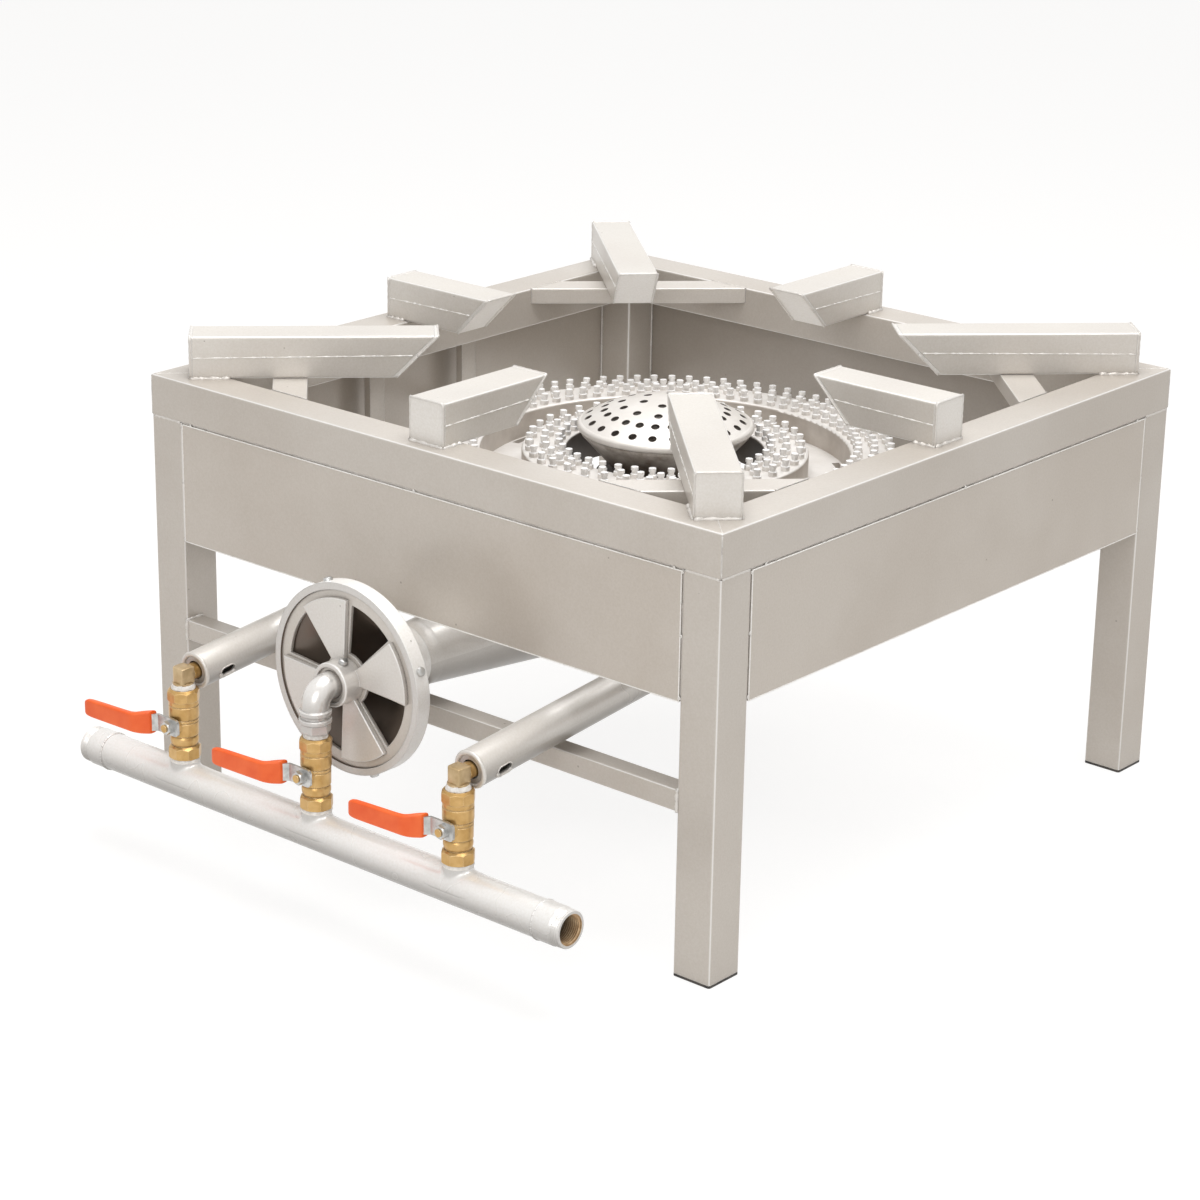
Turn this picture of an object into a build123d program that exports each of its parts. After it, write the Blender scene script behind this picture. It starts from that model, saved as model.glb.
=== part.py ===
"""Low commercial gas stove: a square tube stand, eight pot bars, a three-ring burner and its gas train.

Frame of the part: millimetres, +Z up, +X to the right seen from the valves, -Y towards the valves.
The stove is drawn about the middle of its square stand and then shifted along Y, so that the origin
lies on the floor under the middle of the whole part.
"""
import os
from math import asin, cos, degrees, radians, sin, sqrt, tan

from build123d import *

# Square tube stand
FRAME_WIDTH = 850.0
FRAME_DEPTH = 850.0
FRAME_HEIGHT = 505.0
TUBE_SIDE = 50.0
TUBE_WALL = 2.5
TUBE_CORNER = 3.0
END_CAP_THICK = 3.0
END_CAP_PLUG = 12.0
PLUG_CLEARANCE = 0.2
PANEL_HEIGHT = 143.0
PANEL_THICK = 2.0
PANEL_GAP = 0.8
RAIL_SIDE = 25.0
RAIL_WALL = 2.0
RAIL_CORNER = 2.0
RAIL_CLEARANCE = 10.4
BRACE_WIDTH = 40.0
BRACE_HEIGHT = 20.0
BRACE_WALL = 2.0
BRACE_CORNER = 1.5
FRONT_BRACE_SETBACK = 100.0
REAR_BRACE_SETBACK = 140.0

# Pot bars: tubes with an undercut nose, closed by plates at both ends
BAR_SIDE = 50.0
BAR_WALL = 2.5
BAR_CORNER = 2.5
BAR_PLATE = 3.0
CORNER_NOSE_RADIUS = 268.0
CORNER_BAR_INSET = 46.0
SIDE_NOSE_RADIUS = 240.0
SIDE_BAR_INSET = 17.0
FRONT_BAR_SHIFT = 0.0
RIGHT_BAR_SHIFT = -10.0
REAR_BAR_SHIFT = 12.0
LEFT_BAR_SHIFT = 25.0
REAR_LEFT_BAR_TURN = 2.5

# Ring burners on one base plate, carried by two straps hung from the stand
BURNER_DROP = 94.0
RING_HEIGHT = 31.0
RING_WALL = 4.0
RING_EDGE = 3.0
BASE_THICK = 8.0
OUTER_RING_BORE = 219.0
OUTER_RING_WIDTH = 56.0
MIDDLE_RING_BORE = 117.0
MIDDLE_RING_WIDTH = 53.0
AIR_SLOT_COUNT = 8
AIR_SLOT_ANGLE = 18.0
AIR_SLOT_WIDTH = 9.0
AIR_SLOT_MARGIN = 3.0
STRAP_WIDTH = 25.0
STRAP_THICK = 10.0
STRAP_BEND = 8.0
STRAP_SPACING = 166.0

# Jets: stepped nozzles in three rows on each ring
JET_ROWS = 3
OUTER_JETS_PER_ROW = 76
MIDDLE_JETS_PER_ROW = 38
JET_MARGIN = 9.0
JET_BASE_RADIUS = 4.75
JET_BASE_HEIGHT = 6.5
JET_NECK_RADIUS = 2.75
JET_NECK_HEIGHT = 3.0
JET_HEAD_RADIUS = 4.0
JET_HEAD_HEIGHT = 4.2
JET_HEAD_CHAMFER = 0.9

# Centre burner: a flanged bowl and a drilled cap
BOWL_WALL = 4.0
BOWL_FLANGE_RADIUS = 82.0
BOWL_HEIGHT = 62.0
BOWL_RIM_RADIUS = 102.0
CAP_RADIUS = 105.0
CAP_EDGE_HEIGHT = 10.0
CAP_RISE = 28.0
CAP_WALL = 3.0
CAP_HOLE_RADIUS = 5.0
CAP_HOLE_CIRCLES = (92.0, 73.0, 53.0, 28.0)
CAP_HOLE_COUNTS = (24, 24, 12, 6)

# Venturi, bell mouth and rotary air shutter of the centre burner
VENTURI_HEIGHT = 268.0
VENTURI_WALL = 4.0
THROAT_RADIUS = 37.0
THROAT_LENGTH = 20.0
DIFFUSER_RADIUS = 55.0
DIFFUSER_LENGTH = 185.0
RIM_RADIUS = 108.3
RIM_DEPTH = 19.0
RIM_WALL = 8.1
RIM_SETBACK = 110.5
BELL_LENGTH = 76.5
BELL_RADIUS = 104.0
BELL_SHOULDER = 4.0
REGISTER_RECESS = 2.5
REGISTER_THICK = 4.0
REGISTER_CLEARANCE = 0.2
WINDOW_INNER = 30.0
WINDOW_OUTER = 87.0
WINDOW_ANGLE = 41.0
BLADE_COUNT = 4
BLADE_ANGLE = 44.0
BLADE_OUTER = 92.0
BLADE_THICK = 5.5
BLADE_EDGE = 1.2
BLADE_START = 19.0
SHUTTER_GAP = 0.3
HUB_RADIUS = 25.0
HUB_REACH = 23.5
HUB_EDGE = 2.0
SPIGOT_RADIUS = 20.0
SPIGOT_RECESS = 3.0
SPIGOT_CLEARANCE = 0.3
RUNNING_CLEARANCE = 0.1
SCREW_RADIUS = 3.0
SCREW_HEAD_RADIUS = 5.0
SCREW_HEAD_HEIGHT = 4.2
RIM_SCREW_COUNT = 4
RIM_SCREW_ANGLE = 18.0
HUB_SCREW_ANGLE = 72.0
HUB_SCREW_RADIUS = 4.5
HUB_SCREW_STAND = 5.0

# Mixing tubes of the two rings
MIXER_RADIUS = 21.2
MIXER_WALL = 3.2
MIXER_RISE_ANGLE = 5.5
MIXER_END_THICK = 3.0
MIXER_END_GAP = 1.5
MIXER_SETBACK = 137.0
MIXER_BEND = 60.0
MIXER_TURN = 32.0
AIR_PORT_LENGTH = 22.0
AIR_PORT_WIDTH = 12.0
AIR_PORT_SETBACK = 30.0
AIR_PORT_ANGLE = 72.0

# Gas train: manifold, three ball valves and their feeds
MANIFOLD_SETBACK = 156.0
MANIFOLD_LENGTH = 734.0
MANIFOLD_RADIUS = 21.2
MANIFOLD_WALL = 3.2
SOCKET_LENGTH = 36.0
SOCKET_RADIUS = 21.8
SOCKET_BORE = 15.15
BRANCH_PITCH = 210.0
STUB_RADIUS = 13.5
STUB_BORE = 10.5
STUB_COLLAR_RADIUS = 18.5
STUB_COLLAR_TOP = 16.0
STUB_RISE = 7.8
THREAD_CLEARANCE = 0.1
VALVE_FLATS = 34.0
OCTAGON_TURN = 15.0
VALVE_END_HEIGHT = 18.0
VALVE_BARREL_HEIGHT = 46.0
VALVE_TOP_HEIGHT = 18.0
VALVE_BARREL_RADIUS = 17.0
VALVE_SPIGOT_RADIUS = 15.0
VALVE_SPIGOT_HEIGHT = 9.0
VALVE_PORT = 8.0
VALVE_THREAD_RADIUS = 12.0
VALVE_THREAD_DEPTH = 12.0
BALL_RADIUS = 12.0
BALL_CAVITY = 12.6
SEAT_THICK = 3.5
SEAT_CLEARANCE = 0.2
STEM_RADIUS = 4.5
STEM_BOSS_RADIUS = 9.0
STEM_BOSS_REACH = 18.5
LEVER_GAP = 0.5
LEVER_THICK = 3.0
LEVER_WIDTH = 20.0
LEVER_TAIL = 13.0
LEVER_FLAT = 20.0
LEVER_STEP = 19.0
LEVER_REACH = 113.0
LEVER_FLARE = 4.0
GRIP_SKIN = 2.6
GRIP_HEIGHT = 28.0
GRIP_END_HEIGHT = 21.0
GRIP_START = 23.5
NUT_FLATS = 14.0
NUT_HEIGHT = 6.0
STEM_END = 3.0
JOINT_GAP = 6.0
BLOCK_SIDE = 19.0
BLOCK_EDGE = 1.2
INJECTOR_RADIUS = 7.0
INJECTOR_COLLAR = 9.3
INJECTOR_COLLAR_LENGTH = 16.0
INJECTOR_REACH = 30.0
CENTRE_THREAD = 6.0
INJECTOR_BORE = 1.6
BUSHING_FLATS = 30.0
BUSHING_HEIGHT = 10.0
ELBOW_RADIUS = 15.5
ELBOW_WALL = 3.5
ELBOW_BEND = 19.0
ELBOW_RISE = 17.0
ELBOW_BAND_RADIUS = 18.0
ELBOW_BAND_HEIGHT = 6.0
ELBOW_BAND_GAP = 3.5
ELBOW_ARM = 27.0
CENTRE_INJECTOR_REACH = 34.0

# Levels and planes that several pieces share
RING_BOTTOM = FRAME_HEIGHT - TUBE_SIDE
BURNER_TOP = FRAME_HEIGHT - BURNER_DROP
BASE_TOP = BURNER_TOP - RING_HEIGHT
BASE_BOTTOM = BASE_TOP - BASE_THICK
INNER_X = FRAME_WIDTH / 2 - TUBE_SIDE
INNER_Y = FRAME_DEPTH / 2 - TUBE_SIDE
FRONT_FACE = -FRAME_DEPTH / 2
RIM_FRONT = FRONT_FACE - RIM_SETBACK
RIM_BACK = RIM_FRONT + RIM_DEPTH
REGISTER_FRONT = RIM_FRONT + REGISTER_RECESS
REGISTER_BACK = REGISTER_FRONT + REGISTER_THICK
HUB_FRONT = RIM_FRONT - HUB_REACH
THROAT_FRONT = RIM_BACK + BELL_LENGTH
SPIGOT_BORE = ELBOW_RADIUS + SPIGOT_CLEARANCE
TRAIN_Y = FRONT_FACE - MANIFOLD_SETBACK
FEED_BOTTOM = VENTURI_HEIGHT - ELBOW_BEND - ELBOW_RISE - BUSHING_HEIGHT
VALVE_TOP = FEED_BOTTOM - JOINT_GAP
BARREL_TOP = VALVE_TOP - VALVE_TOP_HEIGHT
BARREL_BOTTOM = BARREL_TOP - VALVE_BARREL_HEIGHT
VALVE_BOTTOM = BARREL_BOTTOM - VALVE_END_HEIGHT
MANIFOLD_HEIGHT = VALVE_BOTTOM - STUB_RISE - MANIFOLD_RADIUS
STEM_HEIGHT = BARREL_BOTTOM + VALVE_BARREL_HEIGHT / 2
BLOCK_HEIGHT = FEED_BOTTOM + BLOCK_SIDE / 2
MIXER_FRONT = FRONT_FACE - MIXER_SETBACK
MIXER_RISE = tan(radians(MIXER_RISE_ANGLE))
MIXER_BELOW = MIXER_RADIUS / cos(radians(MIXER_RISE_ANGLE))
RAIL_TOP = BLOCK_HEIGHT + MIXER_RISE * MIXER_SETBACK - MIXER_BELOW - RAIL_CLEARANCE
LEVER_BACK = STEM_BOSS_REACH + LEVER_GAP
LEVER_FRONT = LEVER_BACK + LEVER_THICK
ROOT2 = sqrt(2)


def spun(outline):
    """Solid of revolution about Z from (radius, height) points."""
    return revolve(Plane.XZ * make_face(Polyline(*outline, close=True)), Axis.Z)


def spun_level(outline):
    """Solid of revolution about Y from (radius, y) points."""
    return revolve(make_face(Polyline(*outline, close=True)), Axis.Y)


def rod(start, direction, radius, length):
    """Round bar from a start point along a direction."""
    return extrude(Plane(start, z_dir=direction) * Circle(radius), length)


def hexagon(flats):
    """Hexagon with two of its flats facing front and back."""
    return RegularPolygon(flats / 2, 6, major_radius=False, rotation=0)


def octagon(flats):
    """Octagon turned a little about the valve axis."""
    return RegularPolygon(flats / 2, 8, major_radius=False, rotation=OCTAGON_TURN)


def tube_section(width, height, wall, corner):
    """Hollow rectangular section with rounded outer corners."""
    return RectangleRounded(width, height, corner) - Rectangle(width - 2 * wall, height - 2 * wall)


def lengthwise(section, length):
    """A section carried along X, centred on the origin."""
    return extrude(Plane.YZ * section, length / 2, both=True)


def sector(inner, outer, middle_angle, width_angle):
    """Flat ring sector about the origin."""
    outer_arc = CenterArc((0, 0), outer, middle_angle - width_angle / 2, width_angle)
    inner_arc = CenterArc((0, 0), inner, middle_angle - width_angle / 2, width_angle)
    sides = [Line(inner_arc @ 0, outer_arc @ 0), Line(inner_arc @ 1, outer_arc @ 1)]
    return make_face([outer_arc, inner_arc, *sides])


def piped(path, radius, wall):
    """Pipe along a path that begins straight."""
    ring = Circle(radius) - Circle(radius - wall)
    return sweep(Plane(path @ 0, z_dir=path % 0) * ring, path=path)


def quarter(angle):
    """Turn about the upright axis of the stove."""
    return Rot(0, 0, angle)


def legs():
    """Four upright tubes under the corners of the top ring."""
    section = tube_section(TUBE_SIDE, TUBE_SIDE, TUBE_WALL, TUBE_CORNER)
    found = {}
    for side, x in (("left", -1), ("right", 1)):
        for end, y in (("front", -1), ("rear", 1)):
            foot = Pos(x * (INNER_X + TUBE_SIDE / 2), y * (INNER_Y + TUBE_SIDE / 2), END_CAP_THICK)
            found[f"{end}_{side}_leg"] = extrude(foot * section, RING_BOTTOM - END_CAP_THICK)
    return found


def leg_end_caps():
    """Plugs that close the lower ends of the legs and stand on the floor."""
    plate = extrude(RectangleRounded(TUBE_SIDE, TUBE_SIDE, TUBE_CORNER), END_CAP_THICK)
    plug_side = TUBE_SIDE - 2 * TUBE_WALL - 2 * PLUG_CLEARANCE
    plug = extrude(Pos(0, 0, END_CAP_THICK) * Rectangle(plug_side, plug_side), END_CAP_PLUG)
    cap = plate + plug
    caps = []
    for x in (-1, 1):
        for y in (-1, 1):
            caps.append(Pos(x * (INNER_X + TUBE_SIDE / 2), y * (INNER_Y + TUBE_SIDE / 2), 0) * cap)
    return Compound(children=caps)


def top_rails():
    """Four tubes mitred into the top ring."""
    spare = 1.0
    rails = []
    for turn, length, out in ((0, FRAME_WIDTH, FRAME_DEPTH), (90, FRAME_DEPTH, FRAME_WIDTH),
                              (180, FRAME_WIDTH, FRAME_DEPTH), (270, FRAME_DEPTH, FRAME_WIDTH)):
        tube = lengthwise(tube_section(TUBE_SIDE, TUBE_SIDE, TUBE_WALL, TUBE_CORNER), length)
        long_x = length / 2 + spare
        short_x = length / 2 - TUBE_SIDE - spare
        half = TUBE_SIDE / 2 + spare
        mitre = make_face(Polyline((-long_x, -half), (long_x, -half), (short_x, half), (-short_x, half),
                                   close=True))
        tube = tube & extrude(mitre, half, both=True)
        rails.append(quarter(turn) * Pos(0, (TUBE_SIDE - out) / 2, RING_BOTTOM + TUBE_SIDE / 2) * tube)
    return Compound(children=rails)


def panels():
    """Four sheets let in flush between the legs under the top ring."""
    found = {}
    middle = RING_BOTTOM - PANEL_GAP - PANEL_HEIGHT / 2
    layout = (("front", 0, INNER_X, FRAME_DEPTH), ("right", 90, INNER_Y, FRAME_WIDTH),
              ("rear", 180, INNER_X, FRAME_DEPTH), ("left", 270, INNER_Y, FRAME_WIDTH))
    for name, turn, length, out in layout:
        sheet = Box(2 * (length - PANEL_GAP), PANEL_THICK, PANEL_HEIGHT)
        found[f"{name}_panel"] = quarter(turn) * Pos(0, (PANEL_THICK - out) / 2, middle) * sheet
    return found


def front_rail():
    """Small tube low down between the front legs."""
    tube = lengthwise(tube_section(RAIL_SIDE, RAIL_SIDE, RAIL_WALL, RAIL_CORNER), 2 * INNER_X)
    return Pos(0, FRONT_FACE + RAIL_SIDE / 2, RAIL_TOP - RAIL_SIDE / 2) * tube


def corner_braces():
    """Four flat tubes across the inner corners of the top ring, flush with its top."""
    opening = Box(2 * INNER_X, 2 * INNER_Y, 4 * FRAME_HEIGHT)
    braces = []
    for x in (-1, 1):
        for y, setback in ((-1, FRONT_BRACE_SETBACK), (1, REAR_BRACE_SETBACK)):
            section = tube_section(BRACE_WIDTH, BRACE_HEIGHT, BRACE_WALL, BRACE_CORNER)
            tube = lengthwise(section, ROOT2 * setback + 4 * BRACE_WIDTH)
            inward = setback / 2 + BRACE_WIDTH / 2 / ROOT2
            place = Pos(x * (INNER_X - inward), y * (INNER_Y - inward), FRAME_HEIGHT - BRACE_HEIGHT / 2)
            braces.append((place * quarter(-45 * x * y) * tube) & opening)
    return Compound(children=braces)


def pot_bar(nose, outer):
    """One bar along +X on its own, lying on z = 0: the tube, its nose plate and its outer end plate."""
    start = Plane.YZ.offset(nose) * Pos(0, BAR_SIDE / 2)
    hollow = start * tube_section(BAR_SIDE, BAR_SIDE, BAR_WALL, BAR_CORNER)
    filled = start * RectangleRounded(BAR_SIDE, BAR_SIDE, BAR_CORNER)
    face = Plane((nose, 0, BAR_SIDE), z_dir=(1, 0, 1))
    back = Plane((nose + ROOT2 * BAR_PLATE, 0, BAR_SIDE), z_dir=(1, 0, 1))
    tube = split(extrude(hollow, outer - BAR_PLATE - nose), bisect_by=back, keep=Keep.TOP)
    nose_plate = split(extrude(filled, 2 * BAR_SIDE), bisect_by=face, keep=Keep.TOP)
    nose_plate = split(nose_plate, bisect_by=back, keep=Keep.BOTTOM)
    end_plate = extrude(Pos(outer - BAR_PLATE - nose, 0, 0) * filled, BAR_PLATE)
    return tube, nose_plate, end_plate


def pot_bars():
    """Eight bars on the top ring: four on the diagonals and four at the middles of the sides."""
    half_corner = sqrt(FRAME_WIDTH ** 2 + FRAME_DEPTH ** 2) / 2
    slant = degrees(asin(FRAME_DEPTH / 2 / half_corner))
    side_x = FRAME_WIDTH / 2 - SIDE_BAR_INSET
    side_y = FRAME_DEPTH / 2 - SIDE_BAR_INSET
    corner = half_corner - CORNER_BAR_INSET
    layout = (("front_left_bar", 180 + slant, corner, CORNER_NOSE_RADIUS, 0),
              ("front_right_bar", -slant, corner, CORNER_NOSE_RADIUS, 0),
              ("rear_right_bar", slant, corner, CORNER_NOSE_RADIUS, 0),
              ("rear_left_bar", 180 - slant + REAR_LEFT_BAR_TURN, corner, CORNER_NOSE_RADIUS, 0),
              ("front_bar", 270, side_y, SIDE_NOSE_RADIUS, FRONT_BAR_SHIFT),
              ("right_bar", 0, side_x, SIDE_NOSE_RADIUS, RIGHT_BAR_SHIFT),
              ("rear_bar", 90, side_y, SIDE_NOSE_RADIUS, REAR_BAR_SHIFT),
              ("left_bar", 180, side_x, SIDE_NOSE_RADIUS, LEFT_BAR_SHIFT))
    found = {}
    plates = []
    for name, angle, outer, nose, shift in layout:
        place = Pos(0, 0, FRAME_HEIGHT) * quarter(angle) * Pos(0, shift, 0)
        tube, nose_plate, end_plate = pot_bar(nose, outer)
        found[name] = place * tube
        plates += [place * nose_plate, place * end_plate]
    found["bar_end_plates"] = Compound(children=plates)
    return found


def burner_straps():
    """Two flat bars bent up at both ends and welded under the top ring."""
    outside_x = INNER_X + TUBE_SIDE / 2 + STRAP_THICK / 2
    bottom = BASE_BOTTOM - STRAP_THICK
    height = RING_BOTTOM - bottom
    bar = Pos(0, 0, bottom + height / 2) * Box(2 * outside_x, STRAP_WIDTH, height)
    room = Pos(0, 0, BASE_BOTTOM + height / 2) * Box(2 * (outside_x - STRAP_THICK), 2 * STRAP_WIDTH, height)
    bar = bar - room
    across = bar.edges().filter_by(Axis.Y).group_by(Axis.Z)
    bar = fillet(across[0], STRAP_BEND + STRAP_THICK)
    corner = Vector(outside_x - STRAP_THICK, 0, BASE_BOTTOM)
    corners = [corner, Vector(-corner.X, 0, corner.Z)]
    across = bar.edges().filter_by(Axis.Y)
    inner = [edge for edge in across if any((edge.center() - c).length < STRAP_THICK / 2 for c in corners)]
    bar = fillet(inner, STRAP_BEND)
    return {"front_burner_strap": Pos(0, -STRAP_SPACING / 2, 0) * bar,
            "rear_burner_strap": Pos(0, STRAP_SPACING / 2, 0) * bar}


def outer_feed():
    """Place where the right mixing tube enters the outer ring, under the middle of its channel."""
    middle = OUTER_RING_BORE + OUTER_RING_WIDTH / 2
    return BRANCH_PITCH, -sqrt(middle ** 2 - BRANCH_PITCH ** 2)


def middle_feed():
    """Place where the left mixing tube enters the middle ring."""
    return -(MIDDLE_RING_BORE + MIDDLE_RING_WIDTH / 2), 0.0


def burner_base_plate():
    """Round plate that closes both rings from below, with gas inlets and secondary air slots."""
    plate = Circle(OUTER_RING_BORE + OUTER_RING_WIDTH) - Circle(MIDDLE_RING_BORE)
    for x, y in (outer_feed(), middle_feed()):
        plate -= Pos(x, y) * Circle(MIXER_RADIUS - MIXER_WALL)
    slot_outer = OUTER_RING_BORE - AIR_SLOT_MARGIN
    for index in range(AIR_SLOT_COUNT):
        angle = 360 / AIR_SLOT_COUNT * (index + 1)
        plate -= sector(slot_outer - AIR_SLOT_WIDTH, slot_outer, angle, AIR_SLOT_ANGLE)
    return Pos(0, 0, BASE_BOTTOM) * extrude(plate, BASE_THICK)


def ring_burner(bore, width):
    """Ring channel, open below, that stands on the base plate."""
    outer = bore + width
    channel = make_face(Polyline((bore, BASE_TOP), (bore, BURNER_TOP),
                                 (outer, BURNER_TOP), (outer, BASE_TOP),
                                 (outer - RING_WALL, BASE_TOP), (outer - RING_WALL, BURNER_TOP - RING_WALL),
                                 (bore + RING_WALL, BURNER_TOP - RING_WALL), (bore + RING_WALL, BASE_TOP),
                                 close=True))
    channel = fillet(channel.vertices().group_by(Axis.Y)[-1], RING_EDGE)
    return revolve(Plane.XZ * channel, Axis.Z)


def ring_jets(bore, width, count):
    """Stepped jets in staggered rows on top of a ring."""
    neck_start = JET_BASE_HEIGHT
    head_start = JET_BASE_HEIGHT + JET_NECK_HEIGHT
    head_top = head_start + JET_HEAD_HEIGHT
    jet = spun([(0, 0), (JET_BASE_RADIUS, 0), (JET_BASE_RADIUS, neck_start), (JET_NECK_RADIUS, neck_start),
                (JET_NECK_RADIUS, head_start), (JET_HEAD_RADIUS, head_start),
                (JET_HEAD_RADIUS, head_top - JET_HEAD_CHAMFER),
                (JET_HEAD_RADIUS - JET_HEAD_CHAMFER, head_top), (0, head_top)])
    jets = []
    for row in range(JET_ROWS):
        radius = bore + JET_MARGIN + (width - 2 * JET_MARGIN) * row / (JET_ROWS - 1)
        for index in range(count):
            angle = radians(360 / count * (index + row % 2 / 2))
            jets.append(Pos(radius * cos(angle), radius * sin(angle), BURNER_TOP) * jet)
    return Compound(children=jets)


def centre_bowl():
    """Flanged cone over the upturned end of the venturi; its flange rests on the straps."""
    rim = BASE_BOTTOM + BOWL_HEIGHT
    neck = DIFFUSER_RADIUS
    return spun([(neck - BOWL_WALL, BASE_BOTTOM), (BOWL_FLANGE_RADIUS, BASE_BOTTOM),
                 (BOWL_FLANGE_RADIUS, BASE_TOP), (neck, BASE_TOP),
                 (BOWL_RIM_RADIUS - BOWL_WALL / 2, rim - BOWL_WALL), (BOWL_RIM_RADIUS, rim),
                 (BOWL_RIM_RADIUS - 2 * BOWL_WALL, rim), (neck - BOWL_WALL, BASE_TOP)])


def centre_cap():
    """Pressed dome with a rolled edge and rings of drilled holes."""
    bottom = BASE_BOTTOM + BOWL_HEIGHT
    edge_top = bottom + CAP_EDGE_HEIGHT
    roll = CAP_EDGE_HEIGHT / 2
    shoulder = CAP_RADIUS - roll
    ball = (shoulder ** 2 + CAP_RISE ** 2) / (2 * CAP_RISE)
    centre = edge_top + CAP_RISE - ball
    skin = asin(shoulder / ball)
    inner_ball = ball - CAP_WALL
    inner_start = (inner_ball * sin(skin), centre + inner_ball * cos(skin))
    inner_foot = (inner_start[0], bottom)
    outline = [Line((0, edge_top + CAP_RISE - CAP_WALL), (0, edge_top + CAP_RISE)),
               ThreePointArc((0, edge_top + CAP_RISE),
                             (ball * sin(skin / 2), centre + ball * cos(skin / 2)), (shoulder, edge_top)),
               ThreePointArc((shoulder, edge_top), (CAP_RADIUS, bottom + roll), (shoulder, bottom)),
               Line((shoulder, bottom), inner_foot),
               Line(inner_foot, inner_start),
               ThreePointArc(inner_start, (inner_ball * sin(skin / 2), centre + inner_ball * cos(skin / 2)),
                             (0, edge_top + CAP_RISE - CAP_WALL))]
    cap = revolve(Plane.XZ * make_face(outline), Axis.Z)
    drills = []
    for radius, count in zip(CAP_HOLE_CIRCLES, CAP_HOLE_COUNTS):
        tilt = asin(radius / ball)
        for index in range(count):
            around = radians(360 / count * index)
            way = (sin(tilt) * cos(around), sin(tilt) * sin(around), cos(tilt))
            start = [inner_ball * part * (1 - CAP_WALL / ball) for part in way]
            drills.append(rod((start[0], start[1], centre + start[2]), way, CAP_HOLE_RADIUS, 4 * CAP_WALL))
    return cap - drills


def venturi_tube():
    """Throat, diffuser and upturned end that lead the mixture to the bowl."""
    bend = BASE_BOTTOM - VENTURI_HEIGHT
    cone_start = THROAT_FRONT + THROAT_LENGTH
    cone_end = cone_start + DIFFUSER_LENGTH
    outside = [(THROAT_RADIUS, THROAT_FRONT), (THROAT_RADIUS, cone_start), (DIFFUSER_RADIUS, cone_end),
               (DIFFUSER_RADIUS, -bend)]
    inside = [(radius - VENTURI_WALL, y) for radius, y in reversed(outside)]
    straight = Pos(0, 0, VENTURI_HEIGHT) * spun_level(outside + inside)
    turn = TangentArc((0, -bend, VENTURI_HEIGHT), (0, 0, BASE_BOTTOM), tangent=(0, 1, 0))
    return straight + piped(turn, DIFFUSER_RADIUS, VENTURI_WALL)


def rim_screw_ways():
    """Directions of the screws round the rim."""
    angles = [radians(RIM_SCREW_ANGLE + 360 / RIM_SCREW_COUNT * index) for index in range(RIM_SCREW_COUNT)]
    return [Vector(cos(angle), 0, sin(angle)) for angle in angles]


def bell_mouth():
    """Cast intake: a deep rim that holds the register plate and a flare down to the throat."""
    bore = RIM_RADIUS - RIM_WALL
    lip = bore - BELL_SHOULDER
    throat = THROAT_RADIUS - VENTURI_WALL
    outline = [Line((bore, RIM_FRONT), (RIM_RADIUS, RIM_FRONT)),
               Line((RIM_RADIUS, RIM_FRONT), (RIM_RADIUS, RIM_BACK)),
               Line((RIM_RADIUS, RIM_BACK), (BELL_RADIUS, RIM_BACK)),
               TangentArc((THROAT_RADIUS, THROAT_FRONT), (BELL_RADIUS, RIM_BACK), tangent=(0, -1)),
               Line((THROAT_RADIUS, THROAT_FRONT), (throat, THROAT_FRONT)),
               TangentArc((throat, THROAT_FRONT), (lip, REGISTER_BACK), tangent=(0, -1)),
               Line((lip, REGISTER_BACK), (bore, REGISTER_BACK)),
               Line((bore, REGISTER_BACK), (bore, RIM_FRONT))]
    bell = revolve(make_face(outline), Axis.Y)
    middle = (RIM_FRONT + RIM_BACK) / 2
    for way in rim_screw_ways():
        bell -= rod((0, middle, 0), way, SCREW_RADIUS + THREAD_CLEARANCE, 2 * RIM_RADIUS)
    return Pos(0, 0, VENTURI_HEIGHT) * bell


def rim_set_screws():
    """Four screws through the rim that hold the register plate."""
    middle = (RIM_FRONT + RIM_BACK) / 2
    start = RIM_RADIUS - RIM_WALL + THREAD_CLEARANCE
    screws = []
    centre = Vector(0, middle, VENTURI_HEIGHT)
    for way in rim_screw_ways():
        shank = rod(centre + way * start, way, SCREW_RADIUS, RIM_RADIUS - start)
        head = rod(centre + way * RIM_RADIUS, way, SCREW_HEAD_RADIUS, SCREW_HEAD_HEIGHT)
        screws.append(shank + head)
    return Compound(children=screws)


def register_plate():
    """Fixed disc in the rim with four windows and the spigot that the shutter turns on."""
    disc = Circle(RIM_RADIUS - RIM_WALL - REGISTER_CLEARANCE) - Circle(SPIGOT_BORE)
    for index in range(BLADE_COUNT):
        angle = BLADE_START + 360 / BLADE_COUNT * (index + 0.5)
        disc -= sector(WINDOW_INNER, WINDOW_OUTER, angle, WINDOW_ANGLE)
    front = Plane.XZ.offset(-REGISTER_BACK)
    plate = extrude(front * disc, REGISTER_THICK)
    spigot_length = REGISTER_BACK - (HUB_FRONT + SPIGOT_RECESS)
    spigot = extrude(front * (Circle(SPIGOT_RADIUS) - Circle(SPIGOT_BORE)), spigot_length)
    return Pos(0, 0, VENTURI_HEIGHT) * (plate + spigot)


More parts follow.
